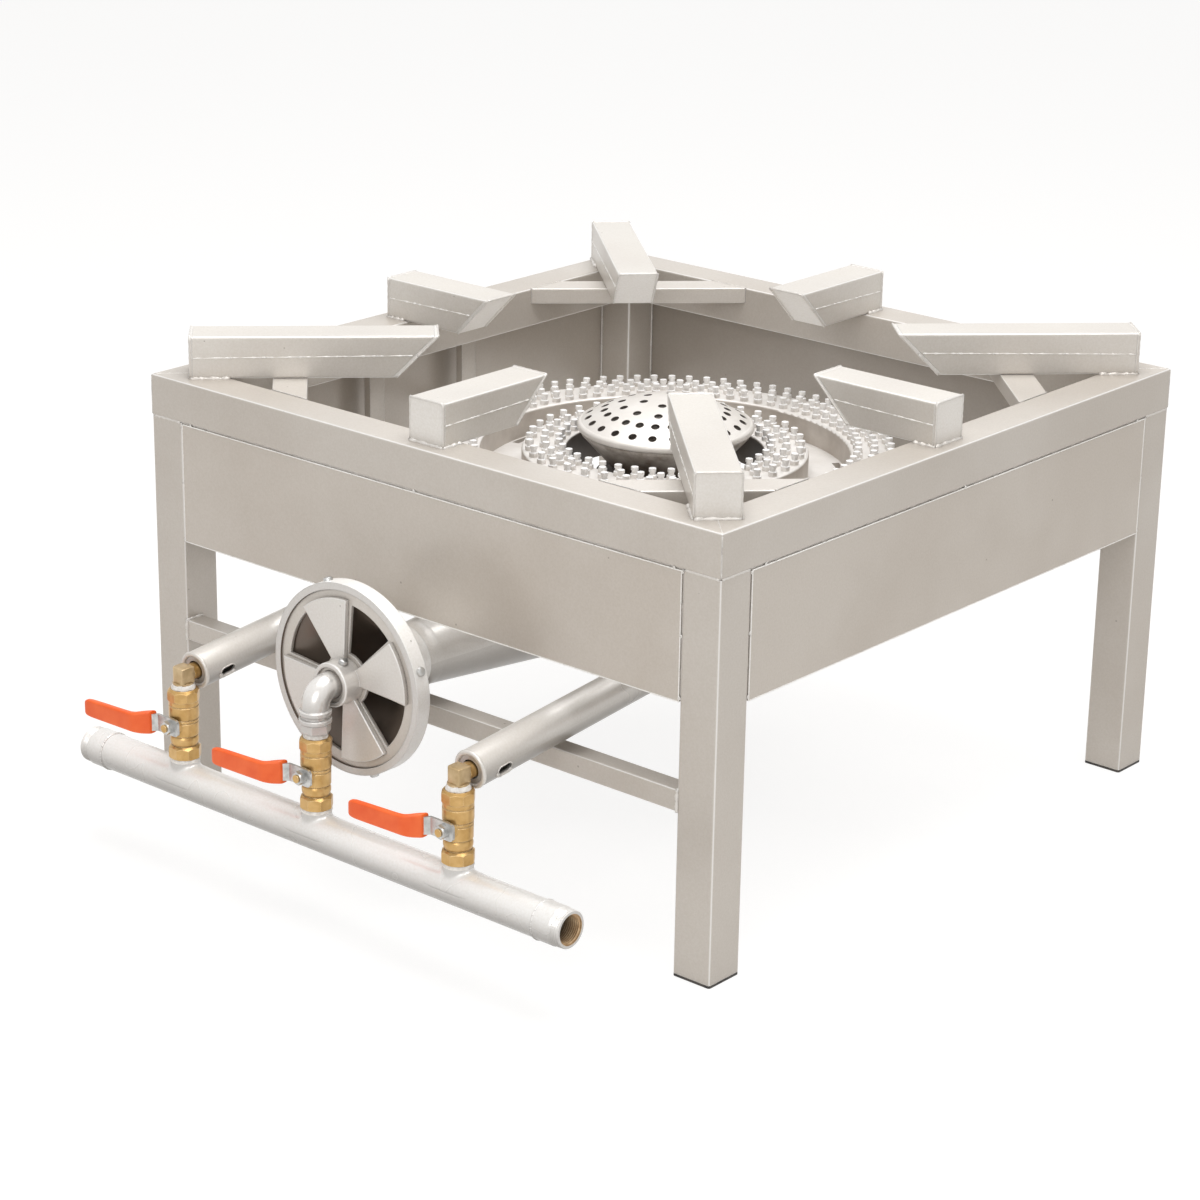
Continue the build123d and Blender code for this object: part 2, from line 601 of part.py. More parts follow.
def air_shutter():
    """Hub with four thick blades that cover or clear the windows."""
    back = Plane.XZ.offset(-REGISTER_FRONT + SHUTTER_GAP)
    bore = SPIGOT_RADIUS + RUNNING_CLEARANCE
    blades = []
    for index in range(BLADE_COUNT):
        flat = sector((bore + HUB_RADIUS) / 2, BLADE_OUTER, BLADE_START + 360 / BLADE_COUNT * index, BLADE_ANGLE)
        blade = extrude(back * flat, BLADE_THICK)
        blades.append(fillet(blade.faces().sort_by(Axis.Y)[0].edges(), BLADE_EDGE))
    hub = extrude(back * Circle(HUB_RADIUS), REGISTER_FRONT - SHUTTER_GAP - HUB_FRONT)
    hub = fillet(hub.edges().group_by(Axis.Y)[0], HUB_EDGE)
    shutter = hub + blades
    shutter -= rod((0, REGISTER_BACK, 0), (0, -1, 0), bore, 2 * RIM_RADIUS)
    way = (cos(radians(HUB_SCREW_ANGLE)), 0, sin(radians(HUB_SCREW_ANGLE)))
    middle = (REGISTER_FRONT + HUB_FRONT) / 2
    shutter -= rod((0, middle, 0), way, HUB_SCREW_RADIUS + THREAD_CLEARANCE, 2 * HUB_RADIUS)
    return Pos(0, 0, VENTURI_HEIGHT) * shutter


def shutter_set_screw():
    """Screw in the hub that pins the shutter on its spigot."""
    way = Vector(cos(radians(HUB_SCREW_ANGLE)), 0, sin(radians(HUB_SCREW_ANGLE)))
    centre = Vector(0, (REGISTER_FRONT + HUB_FRONT) / 2, VENTURI_HEIGHT)
    start = SPIGOT_RADIUS + SHUTTER_GAP
    return rod(centre + way * start, way, HUB_SCREW_RADIUS, HUB_RADIUS + HUB_SCREW_STAND - start)


def mixing_tube(side, corners, bends):
    """Rising pipe from the injector to a ring, with an air port in its side near the front end."""
    x = side * BRANCH_PITCH
    start = Vector(x, MIXER_FRONT, BLOCK_HEIGHT)
    level = BLOCK_HEIGHT + MIXER_RISE * (corners[0][1] - MIXER_FRONT)
    last = corners[-1]
    points = [start, *(Vector(px, py, level) for px, py in corners), Vector(last[0], last[1], BASE_BOTTOM)]
    pipe = piped(FilletPolyline(*points, radius=bends), MIXER_RADIUS, MIXER_WALL)
    along = Vector(0, 1, MIXER_RISE).normalized()
    pipe += rod(start, along, MIXER_RADIUS - MIXER_WALL / 2, MIXER_END_THICK)
    pipe -= rod(start - along, along, INJECTOR_COLLAR + MIXER_END_GAP, MIXER_END_THICK + MIXER_WALL)
    upright = Vector(0, -MIXER_RISE, 1).normalized()
    down = Vector(sin(radians(AIR_PORT_ANGLE)), 0, 0) - upright * cos(radians(AIR_PORT_ANGLE))
    port_plane = Plane(start + along * AIR_PORT_SETBACK, x_dir=along, z_dir=down)
    port = extrude(port_plane * SlotOverall(AIR_PORT_LENGTH, AIR_PORT_WIDTH), 2 * MIXER_RADIUS)
    return pipe - port


def manifold_pipe():
    """Level pipe with three branch holes in its top."""
    pipe = lengthwise(Circle(MANIFOLD_RADIUS) - Circle(MANIFOLD_RADIUS - MANIFOLD_WALL),
                      MANIFOLD_LENGTH - 2 * SOCKET_LENGTH)
    for x in (-BRANCH_PITCH, 0, BRANCH_PITCH):
        pipe -= rod((x, 0, 0), (0, 0, 1), STUB_BORE, 2 * MANIFOLD_RADIUS)
    return Pos(0, TRAIN_Y, MANIFOLD_HEIGHT) * pipe


def manifold_sockets():
    """Threaded sockets welded on both ends and branch stubs welded on top."""
    pieces = []
    for side in (-1, 1):
        socket = lengthwise(Circle(SOCKET_RADIUS) - Circle(SOCKET_BORE), SOCKET_LENGTH)
        pieces.append(Pos(side * (MANIFOLD_LENGTH - SOCKET_LENGTH) / 2, 0, 0) * socket)
    collar_top = MANIFOLD_RADIUS + STUB_RISE
    stub_top = collar_top + VALVE_END_HEIGHT - THREAD_CLEARANCE
    stub = spun([(STUB_BORE, 0), (STUB_COLLAR_RADIUS, 0),
                 (STUB_COLLAR_RADIUS, MANIFOLD_RADIUS - MANIFOLD_WALL), (STUB_COLLAR_TOP, collar_top),
                 (STUB_RADIUS, collar_top), (STUB_RADIUS, stub_top), (STUB_BORE, stub_top)])
    stub -= lengthwise(Circle(MANIFOLD_RADIUS), 4 * STUB_COLLAR_RADIUS)
    pieces += [Pos(x, 0, 0) * stub for x in (-BRANCH_PITCH, 0, BRANCH_PITCH)]
    return Pos(0, TRAIN_Y, MANIFOLD_HEIGHT) * Compound(children=pieces)


def valve_body():
    """Upper casting of a ball valve about its own axis: barrel, top octagon and stem boss."""
    barrel = extrude(Pos(0, 0, BARREL_BOTTOM) * Circle(VALVE_BARREL_RADIUS), VALVE_BARREL_HEIGHT)
    top = extrude(Pos(0, 0, BARREL_TOP) * octagon(VALVE_FLATS), VALVE_TOP_HEIGHT)
    boss = rod((0, 0, STEM_HEIGHT), (0, -1, 0), STEM_BOSS_RADIUS, STEM_BOSS_REACH)
    body = barrel + top + boss
    cavity_bottom = BARREL_BOTTOM + VALVE_SPIGOT_HEIGHT
    cavity_top = 2 * STEM_HEIGHT - cavity_bottom
    spigot_room = VALVE_SPIGOT_RADIUS + THREAD_CLEARANCE
    thread_start = VALVE_TOP - VALVE_THREAD_DEPTH
    body -= spun([(0, BARREL_BOTTOM), (spigot_room, BARREL_BOTTOM), (spigot_room, cavity_bottom),
                  (BALL_CAVITY, cavity_bottom), (BALL_CAVITY, cavity_top), (VALVE_PORT, cavity_top),
                  (VALVE_PORT, thread_start), (VALVE_THREAD_RADIUS, thread_start),
                  (VALVE_THREAD_RADIUS, VALVE_TOP), (0, VALVE_TOP)])
    return body - rod((0, 0, STEM_HEIGHT), (0, -1, 0), STEM_RADIUS + RUNNING_CLEARANCE, 2 * VALVE_FLATS)


def valve_end_piece():
    """Lower octagon of a ball valve, screwed into the barrel and onto the branch stub."""
    nut = extrude(Pos(0, 0, VALVE_BOTTOM) * octagon(VALVE_FLATS), VALVE_END_HEIGHT)
    spigot = extrude(Pos(0, 0, BARREL_BOTTOM) * Circle(VALVE_SPIGOT_RADIUS), VALVE_SPIGOT_HEIGHT)
    stub_room = STUB_RADIUS + THREAD_CLEARANCE
    return nut + spigot - spun([(0, VALVE_BOTTOM), (stub_room, VALVE_BOTTOM), (stub_room, BARREL_BOTTOM),
                                (VALVE_PORT, BARREL_BOTTOM),
                                (VALVE_PORT, BARREL_BOTTOM + VALVE_SPIGOT_HEIGHT),
                                (0, BARREL_BOTTOM + VALVE_SPIGOT_HEIGHT)])


def valve_seats():
    """Two soft rings that seal a ball above and below."""
    low = BARREL_BOTTOM + VALVE_SPIGOT_HEIGHT
    high = 2 * STEM_HEIGHT - low
    near = STEM_HEIGHT - low - SEAT_THICK
    bore = sqrt((BALL_RADIUS + SEAT_CLEARANCE) ** 2 - near ** 2)
    ring = Circle(BALL_CAVITY - SEAT_CLEARANCE) - Circle(bore)
    levels = (low, high - SEAT_THICK)
    return [extrude(Pos(0, 0, level) * ring, SEAT_THICK) for level in levels]


def valve_stem():
    """Ball with its port across the pipe, and the stem that carries the lever."""
    reach = LEVER_FRONT + NUT_HEIGHT + STEM_END
    ball = Pos(0, 0, STEM_HEIGHT) * Sphere(BALL_RADIUS)
    ball += rod((0, 0, STEM_HEIGHT), (0, -1, 0), STEM_RADIUS, reach)
    return ball - Pos(0, 0, STEM_HEIGHT) * lengthwise(Circle(VALVE_PORT), 4 * BALL_RADIUS)


def moved_line(points, distance):
    """Points of an open line moved sideways, with sharp corners."""
    ways = [(end - start).normalized() for start, end in zip(points, points[1:])]
    normals = [Vector(-way.Y, way.X) for way in ways]
    moved = [points[0] + normals[0] * distance]
    for point, before, after in zip(points[1:], normals, normals[1:]):
        middle = (before + after).normalized()
        moved.append(point + middle * (distance / middle.dot(before)))
    return [*moved, points[-1] + normals[-1] * distance]


def lever_strip(skin, outline):
    """Cranked strip: its plan carried upwards and trimmed to an outline seen from the front."""
    step_x = LEVER_FLAT + LEVER_STEP
    line = [Vector(LEVER_TAIL, -LEVER_BACK), Vector(-LEVER_FLAT, -LEVER_BACK),
            Vector(-step_x, -LEVER_BACK - LEVER_STEP),
            Vector(-LEVER_REACH - skin, -LEVER_BACK - LEVER_STEP - LEVER_FLARE)]
    rear = moved_line(line, -skin)
    front = moved_line(line, LEVER_THICK + skin)
    plan = make_face(Polyline(*rear, *reversed(front), close=True))
    strip = Pos(0, 0, STEM_HEIGHT) * extrude(plan, GRIP_HEIGHT, both=True)
    return strip & (Pos(0, 0, STEM_HEIGHT) * extrude(Plane.XZ * outline, 4 * LEVER_REACH, both=True))


def valve_lever():
    """Pressed plate lever, cranked outwards, pointing left with the valve shut."""
    length = LEVER_REACH + LEVER_TAIL
    outline = Pos(LEVER_TAIL - length / 2, 0) * RectangleRounded(length, LEVER_WIDTH, LEVER_WIDTH / 4)
    lever = lever_strip(0, outline)
    return lever - rod((0, 0, STEM_HEIGHT), (0, -1, 0), STEM_RADIUS + THREAD_CLEARANCE, 2 * LEVER_REACH)


def lever_grip(lever):
    """Dipped sleeve over the outer part of a lever, lower at its rounded end."""
    half = GRIP_HEIGHT / 2
    low = GRIP_END_HEIGHT / 2
    end = LEVER_REACH + GRIP_SKIN
    outline = make_face([Line((-GRIP_START, -half), (-GRIP_START, half)),
                         Line((-GRIP_START, half), (-end + low, low)),
                         ThreePointArc((-end + low, low), (-end, 0), (-end + low, -low)),
                         Line((-end + low, -low), (-GRIP_START, -half))])
    sleeve = lever_strip(GRIP_SKIN, outline)
    return sleeve - lever


def lever_nut():
    """Hexagon nut that holds a lever on its stem."""
    face = Plane((0, -LEVER_FRONT, STEM_HEIGHT), z_dir=(0, -1, 0))
    return extrude(face * (RegularPolygon(NUT_FLATS / 2, 6, major_radius=False)
                           - Circle(STEM_RADIUS + THREAD_CLEARANCE)), NUT_HEIGHT)


def brass_elbow():
    """Square-bodied elbow screwed into a side valve, with its outlet towards the mixing tube."""
    block = Pos(0, 0, BLOCK_HEIGHT) * Box(BLOCK_SIDE, BLOCK_SIDE, BLOCK_SIDE)
    block = fillet(block.edges(), BLOCK_EDGE)
    shank_radius = VALVE_THREAD_RADIUS - THREAD_CLEARANCE
    shank_bottom = VALVE_TOP - VALVE_THREAD_DEPTH
    block += rod((0, 0, shank_bottom), (0, 0, 1), shank_radius, FEED_BOTTOM - shank_bottom)
    block -= rod((0, 0, shank_bottom), (0, 0, 1), VALVE_PORT, BLOCK_HEIGHT - shank_bottom)
    return block - rod((0, 0, BLOCK_HEIGHT), (0, 1, 0), INJECTOR_RADIUS + THREAD_CLEARANCE, BLOCK_SIDE)


def injectors():
    """Brass jets: two from the side elbows into the mixing tubes, one in the centre elbow."""
    half = BLOCK_SIDE / 2
    side = spun_level([(INJECTOR_BORE, half / 2), (INJECTOR_RADIUS, half / 2), (INJECTOR_RADIUS, half),
                 (INJECTOR_COLLAR, half), (INJECTOR_COLLAR, half + INJECTOR_COLLAR_LENGTH),
                 (INJECTOR_RADIUS, half + INJECTOR_COLLAR_LENGTH), (INJECTOR_RADIUS, half + INJECTOR_REACH),
                 (INJECTOR_BORE, half + INJECTOR_REACH)])
    arm_end = ELBOW_BEND + ELBOW_ARM
    thread = ELBOW_RADIUS - ELBOW_WALL - THREAD_CLEARANCE
    centre = spun_level([(INJECTOR_BORE, arm_end - CENTRE_THREAD), (thread, arm_end - CENTRE_THREAD),
                   (thread, arm_end), (INJECTOR_COLLAR, arm_end),
                   (INJECTOR_RADIUS, arm_end + CENTRE_INJECTOR_REACH),
                   (INJECTOR_BORE, arm_end + CENTRE_INJECTOR_REACH)])
    placed = [Pos(x, TRAIN_Y, BLOCK_HEIGHT) * side for x in (-BRANCH_PITCH, BRANCH_PITCH)]
    return Compound(children=[*placed, Pos(0, TRAIN_Y, VENTURI_HEIGHT) * centre])


def centre_bushing():
    """Hexagon bushing between the middle valve and the centre elbow."""
    shank_radius = VALVE_THREAD_RADIUS - THREAD_CLEARANCE
    shank_bottom = VALVE_TOP - VALVE_THREAD_DEPTH
    top = FEED_BOTTOM + BUSHING_HEIGHT
    bushing = extrude(Pos(0, 0, FEED_BOTTOM) * hexagon(BUSHING_FLATS), BUSHING_HEIGHT)
    bushing += rod((0, 0, shank_bottom), (0, 0, 1), shank_radius, top + ELBOW_BAND_HEIGHT - shank_bottom)
    return bushing - rod((0, 0, shank_bottom), (0, 0, 1), VALVE_PORT, 2 * FRAME_HEIGHT)


def centre_elbow():
    """Banded pipe elbow from the bushing into the spigot of the air shutter."""
    bottom = FEED_BOTTOM + BUSHING_HEIGHT
    bend_start = VENTURI_HEIGHT - ELBOW_BEND
    path = Line((0, 0, bottom), (0, 0, bend_start))
    path += TangentArc((0, 0, bend_start), (0, ELBOW_BEND, VENTURI_HEIGHT), tangent=(0, 0, 1))
    path += Line((0, ELBOW_BEND, VENTURI_HEIGHT), (0, ELBOW_BEND + ELBOW_ARM, VENTURI_HEIGHT))
    elbow = piped(path, ELBOW_RADIUS, ELBOW_WALL)
    bore = ELBOW_RADIUS - ELBOW_WALL
    for level in (bottom, bottom + ELBOW_BAND_HEIGHT + ELBOW_BAND_GAP):
        band = extrude(Pos(0, 0, level) * (Circle(ELBOW_BAND_RADIUS) - Circle(bore)), ELBOW_BAND_HEIGHT)
        circles = band.edges().filter_by(GeomType.CIRCLE)
        elbow += fillet([edge for edge in circles if edge.radius > ELBOW_RADIUS], ELBOW_BAND_HEIGHT / 4)
    return elbow


def stove():
    """All pieces by name, about the middle of the stand."""
    pieces = {**legs(), "leg_end_caps": leg_end_caps(), "top_rails": top_rails(), **panels()}
    pieces["front_rail"] = front_rail()
    pieces["corner_braces"] = corner_braces()
    pieces.update(pot_bars())
    pieces.update(burner_straps())
    pieces["burner_base_plate"] = burner_base_plate()
    pieces["outer_ring_burner"] = ring_burner(OUTER_RING_BORE, OUTER_RING_WIDTH)
    pieces["outer_ring_jets"] = ring_jets(OUTER_RING_BORE, OUTER_RING_WIDTH, OUTER_JETS_PER_ROW)
    pieces["middle_ring_burner"] = ring_burner(MIDDLE_RING_BORE, MIDDLE_RING_WIDTH)
    pieces["middle_ring_jets"] = ring_jets(MIDDLE_RING_BORE, MIDDLE_RING_WIDTH, MIDDLE_JETS_PER_ROW)
    pieces["centre_burner_bowl"] = centre_bowl()
    pieces["centre_burner_cap"] = centre_cap()
    pieces["venturi_tube"] = venturi_tube()
    pieces["bell_mouth"] = bell_mouth()
    pieces["register_plate"] = register_plate()
    pieces["rim_set_screws"] = rim_set_screws()
    pieces["air_shutter"] = air_shutter()
    pieces["shutter_set_screw"] = shutter_set_screw()
    pieces["outer_mixing_tube"] = mixing_tube(1, [outer_feed()], [MIXER_BEND])
    feed_x, feed_y = middle_feed()
    turn_y = feed_y - (BRANCH_PITCH + feed_x)
    pieces["middle_mixing_tube"] = mixing_tube(-1, [(-BRANCH_PITCH, turn_y), (feed_x, feed_y)],
                                               [MIXER_TURN, MIXER_TURN])
    pieces["manifold_pipe"] = manifold_pipe()
    pieces["manifold_sockets"] = manifold_sockets()
    branches = {"left": -BRANCH_PITCH, "middle": 0.0, "right": BRANCH_PITCH}
    spots = {name: Pos(x, TRAIN_Y, 0) for name, x in branches.items()}
    body = valve_body()
    end_piece = valve_end_piece()
    seats = valve_seats()
    pieces["valve_bodies"] = Compound(children=[spot * body for spot in spots.values()])
    pieces["valve_end_pieces"] = Compound(children=[spot * end_piece for spot in spots.values()])
    pieces["valve_seats"] = Compound(children=[spot * seat for spot in spots.values() for seat in seats])
    stem = valve_stem()
    lever = valve_lever()
    grip = lever_grip(lever)
    nut = lever_nut()
    for name, spot in spots.items():
        pieces[f"{name}_ball_and_stem"] = spot * stem
        pieces[f"{name}_lever"] = spot * lever
        pieces[f"{name}_grip"] = spot * grip
        pieces[f"{name}_lever_nut"] = spot * nut
    elbow = brass_elbow()
    pieces["brass_elbows"] = Compound(children=[spots["left"] * elbow, spots["right"] * elbow])
    pieces["injectors"] = injectors()
    pieces["centre_bushing"] = spots["middle"] * centre_bushing()
    pieces["centre_elbow"] = spots["middle"] * centre_elbow()
    return pieces


pieces = stove()
reach = [piece.bounding_box() for piece in pieces.values()]
shift = -(min(box.min.Y for box in reach) + max(box.max.Y for box in reach)) / 2
os.makedirs("parts", exist_ok=True)
for name, piece in pieces.items():
    export_step(Pos(0, shift, 0) * piece, f"parts/{name}.step")
print(len(pieces), "pieces, shifted along Y by", round(shift, 3))
print("valve axis y", round(TRAIN_Y + shift, 3), "stem z", STEM_HEIGHT, "venturi z", VENTURI_HEIGHT)
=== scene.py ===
import random
from math import copysign, cos, pi, radians, sin, sqrt

import bpy
from mathutils import Matrix, Vector


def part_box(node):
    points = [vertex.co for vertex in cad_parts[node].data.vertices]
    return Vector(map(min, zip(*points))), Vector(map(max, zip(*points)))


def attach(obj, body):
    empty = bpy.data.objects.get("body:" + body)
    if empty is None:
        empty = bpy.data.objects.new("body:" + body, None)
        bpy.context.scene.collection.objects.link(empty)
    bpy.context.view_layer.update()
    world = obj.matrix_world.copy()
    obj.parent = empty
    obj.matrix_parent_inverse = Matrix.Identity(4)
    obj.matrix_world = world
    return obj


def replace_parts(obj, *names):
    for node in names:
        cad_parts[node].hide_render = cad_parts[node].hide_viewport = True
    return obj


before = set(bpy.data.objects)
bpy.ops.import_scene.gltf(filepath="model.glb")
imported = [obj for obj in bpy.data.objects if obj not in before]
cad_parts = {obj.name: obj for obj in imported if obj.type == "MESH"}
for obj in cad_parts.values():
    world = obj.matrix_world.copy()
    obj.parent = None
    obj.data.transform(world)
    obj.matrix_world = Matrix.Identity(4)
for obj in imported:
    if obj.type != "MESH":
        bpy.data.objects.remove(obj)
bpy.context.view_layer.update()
random.seed(7)
bpy.context.scene.view_settings.view_transform = "Standard"

# The stand: four legs under a mitred top ring, a low front tube, flat tubes across the corners, two hung straps.
# Mild steel square tube, arc welded, the welds partly ground down.
# All of it is sprayed with silver aluminium paint.
ring_low, ring_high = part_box("top_rails")
MIDDLE = (ring_low + ring_high) / 2    # middle of the stand
RING_TOP = ring_high.z
RING_BOTTOM = ring_low.z
RING_REACH = ring_high.x - MIDDLE.x    # from the middle to the outer faces of the ring
TUBE_SIDE = RING_TOP - RING_BOTTOM
BRACE_RUN = 0.040 * sqrt(2)            # a brace end along the inner face of the ring
SETBACKS = {-1: 0.100, 1: 0.140}       # a brace end from the inner corner, front and rear
LEGS = ("front_left_leg", "front_right_leg", "rear_left_leg", "rear_right_leg")


def linear(code):
    """Linear colour of an sRGB hex value."""
    shares = [int(code[i:i + 2], 16) / 255 for i in (1, 3, 5)]
    return [s / 12.92 if s <= 0.04045 else ((s + 0.055) / 1.055) ** 2.4 for s in shares] + [1.0]


def per(millimetres):
    """Scale of a pattern whose marks are this far apart."""
    return 1000 / millimetres


def add_node(tree, kind, inputs=None, stops=(), **settings):
    """One shader node of a kind, with its settings, its inputs, set or linked, and a ramp's colour stops."""
    made = tree.nodes.new("ShaderNode" + kind)
    for key, value in settings.items():
        setattr(made, key, value)
    for key, value in (inputs or {}).items():
        if isinstance(value, bpy.types.NodeSocket):
            tree.links.new(value, made.inputs[key])
        else:
            made.inputs[key].default_value = value
    for index, (position, colour) in enumerate(stops):
        if index == len(made.color_ramp.elements):
            made.color_ramp.elements.new(position)
        made.color_ramp.elements[index].position = position
        made.color_ramp.elements[index].color = linear(colour)
    return made


def mottled(name, marks, stops, metallic, roughness, ramp="LINEAR"):
    """A finish whose tone wanders between colours; marks are the settings of its noise."""
    made = bpy.data.materials.new(name)
    made.use_nodes = True
    tree = made.node_tree
    surface = tree.nodes["Principled BSDF"]
    spot = add_node(tree, "TexCoord", name="coordinates").outputs["Object"]
    mottle = add_node(tree, "TexNoise", {**marks, "Vector": spot}, name="mottle")
    tone = add_node(tree, "ValToRGB", {"Fac": mottle.outputs["Fac"]}, stops)
    tone.color_ramp.interpolation = ramp
    tree.links.new(tone.outputs["Color"], surface.inputs["Base Color"])
    surface.inputs["Metallic"].default_value = metallic
    surface.inputs["Roughness"].default_value = roughness
    return made


def workings(made):
    """Tree of a finish and its Object coordinates."""
    return made.node_tree, made.node_tree.nodes["coordinates"].outputs["Object"]


def overlay(tree, colour, share, span=None, shares=(0.0, 1.0), ease="LINEAR", blend="MIX"):
    """Lays a colour over a finish by a share, or by one that goes between two shares as a value crosses a span."""
    base = tree.nodes["Principled BSDF"].inputs["Base Color"]
    if span:
        share = add_node(tree, "MapRange",
                         {"From Min": span[0], "From Max": span[1], "To Min": shares[0], "To Max": shares[1],
                          "Value": share}, interpolation_type=ease).outputs[0]
    over = add_node(tree, "Mix", {"Factor": share, 6: base.links[0].from_socket,
                                  7: linear(colour) if isinstance(colour, str) else colour},
                    data_type="RGBA", blend_type=blend)
    tree.links.new(over.outputs[2], base)


def rounding(tree, normal, radius):
    """Normal of edges rounded off to a radius, and how far it agrees with the true one."""
    rounded = add_node(tree, "Bevel", {"Radius": radius}, samples=4).outputs[0]
    agreed = add_node(tree, "VectorMath", {0: rounded, 1: normal}, operation="DOT_PRODUCT")
    return rounded, agreed.outputs["Value"]


def grained(made, spacing, detail, strength, depth, rounded=None):
    """Fine relief over a finish and its rounded edges, drawn coarser than the real grain so that it shows."""
    tree, spot = workings(made)
    marks = add_node(tree, "TexNoise", {"Scale": per(spacing), "Detail": detail, "Vector": spot})
    relief = add_node(tree, "Bump", {"Strength": strength, "Distance": depth, "Height": marks.outputs["Fac"]})
    if rounded is not None:
        tree.links.new(rounded, relief.inputs["Normal"])
    tree.links.new(relief.outputs[0], tree.nodes["Principled BSDF"].inputs["Normal"])


def silver_paint(name, body, shade, metallic, roughness, flats=(), corner_shade=0.5, round_piece=False, underside_shade=0.0):
    """Sprayed aluminium paint: soft clouds, fine flake, few specks, painted shade in the corners, painted highlights on
    the edges.

    Flats are the ways the flat faces look; a rounded edge looks between them. Round pieces have no edges.
    The last argument is the share of dark painted shade laid on faces turned down."""
    made = mottled(name, {"Scale": per(240), "Detail": 4.0, "Roughness": 0.55}, [(0.34, shade), (0.64, body)],
                   metallic, roughness, "EASE")
    tree, spot = workings(made)
    # Real flake is far finer; it is drawn this coarse so that it shows.
    flake = add_node(tree, "TexNoise", {"Scale": per(2.4), "Detail": 2.0, "Vector": spot})
    flake_tone = add_node(tree, "ValToRGB", {"Fac": flake.outputs["Fac"]}, [(0.3, "#F8F7F5"), (0.7, "#FFFFFF")])
    overlay(tree, flake_tone.outputs["Color"], 1.0, blend="MULTIPLY")
    speck = add_node(tree, "TexVoronoi", {"Scale": per(42), "Randomness": 1.0, "Vector": spot})
    overlay(tree, "#6A5C50", speck.outputs["Distance"], (0.022, 0.034), (0.5, 0.0))
    # Painted shade: grey-brown where ambient occlusion finds the surface closed in, in corners and joints.
    corner = add_node(tree, "AmbientOcclusion", {"Distance": 0.014}, samples=4)
    overlay(tree, "#7D7369", corner.outputs["AO"], (0.25, 0.8), (corner_shade, 0.0))
    normal = add_node(tree, "NewGeometry").outputs["Normal"]
    # Painted shade: faces turned down are painted darker.
    if underside_shade:
        way = add_node(tree, "SeparateXYZ", {"Vector": normal})
        overlay(tree, "#4E4740", way.outputs["Z"], (-0.55, 0.62), (underside_shade, 0.0), "SMOOTHSTEP")
    rounded = None
    if not round_piece:
        rounded, agreed = rounding(tree, normal, 0.0022)
        # Painted highlight: white on sharp edges and on rounded edges between the flats.
        edge = add_node(tree, "MapRange", {"From Min": 0.72, "From Max": 0.95, "To Min": 0.6, "To Max": 0.0,
                                           "Value": agreed}).outputs[0]
        soft = []
        for way in flats:
            part = add_node(tree, "VectorMath", {0: normal, 1: way}, operation="MULTIPLY")
            length = add_node(tree, "VectorMath", {0: part.outputs[0]}, operation="LENGTH")
            off = add_node(tree, "MapRange", {"From Min": 0.76, "From Max": 0.94, "To Min": 0.62,
                                              "To Max": 0.0, "Value": length.outputs["Value"]})
            soft.append(off.outputs[0])
        while len(soft) > 1:
            lesser = add_node(tree, "Math", {0: soft.pop(), 1: soft.pop()}, operation="MINIMUM")
            soft.append(lesser.outputs[0])
        for other in soft:
            edge = add_node(tree, "Math", {0: edge, 1: other}, operation="MAXIMUM").outputs[0]
        overlay(tree, "#FFFFFF", edge)
    grained(made, 4, 2.0, 0.04, 0.0006, rounded)
    wiped = add_node(tree, "TexNoise", {"Scale": per(110), "Detail": 3.0, "Vector": spot})
    rough = add_node(tree, "MapRange", {"From Min": 0.3, "From Max": 0.75, "To Min": roughness - 0.06,
                                        "To Max": roughness + 0.07, "Value": wiped.outputs["Fac"]},
                     interpolation_type="SMOOTHSTEP")
    tree.links.new(rough.outputs[0], tree.nodes["Principled BSDF"].inputs["Roughness"])
    return made


def dress(material, *names):
    """Gives CAD nodes a material."""
    for name in names:
        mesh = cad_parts[name].data
        mesh.materials.clear()
        mesh.materials.append(material)


def fresh():
    """Nothing selected, ready for a new primitive."""
    bpy.ops.object.select_all(action="DESELECT")


def edit_all():
    """Edit mode with everything selected."""
    bpy.ops.object.mode_set(mode="EDIT")
    bpy.ops.mesh.select_all(action="SELECT")


def close_up():
    """Doubles merged, open ends filled and faces turned outwards, then out of edit mode."""
    bpy.ops.mesh.select_all(action="SELECT")
    bpy.ops.mesh.remove_doubles(threshold=0.000001)
    bpy.ops.mesh.fill_holes(sides=0)
    bpy.ops.mesh.normals_make_consistent(inside=False)
    bpy.ops.object.mode_set(mode="OBJECT")


def set_out(source, name, places, material, body, again=False):
    """Copies of one modelled shape at many places, joined into one piece with its material and body.

    The shape is used up, unless it is to be set out again."""
    fresh()
    for spot in places:
        copy = source.copy()
        copy.data = source.data.copy()
        bpy.context.scene.collection.objects.link(copy)
        copy.matrix_world = spot
        copy.select_set(True)
    bpy.context.view_layer.objects.active = copy
    bpy.ops.object.transform_apply()
    bpy.ops.object.join()
    piece = bpy.context.object
    piece.name = name
    piece.data.materials.clear()
    piece.data.materials.append(material)
    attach(piece, body)
    if not again:
        bpy.data.objects.remove(source)
    return piece


BEAD_LENGTH = 0.040
BEAD_STEPS = 14


def bead(radius, least, most):
    """One stretch of weld bead along X: a small loop of edges drawn out in uneven steps."""
    fresh()
    bpy.ops.mesh.primitive_circle_add(vertices=7, radius=radius, rotation=(0, pi / 2, 0))
    piece = bpy.context.object
    bpy.ops.object.transform_apply()
    edit_all()
    step = BEAD_LENGTH / BEAD_STEPS
    girth = 1.0
    for index in range(BEAD_STEPS):
        bpy.ops.mesh.extrude_region_move(TRANSFORM_OT_translate={"value": (step, 0, 0)})
        wanted = random.uniform(least, most)
        share = wanted / girth
        bpy.ops.transform.resize(value=(1, share, share), center_override=(step * (index + 1), 0, 0))
        girth = wanted
    close_up()
    bpy.ops.object.shade_smooth()
    return piece


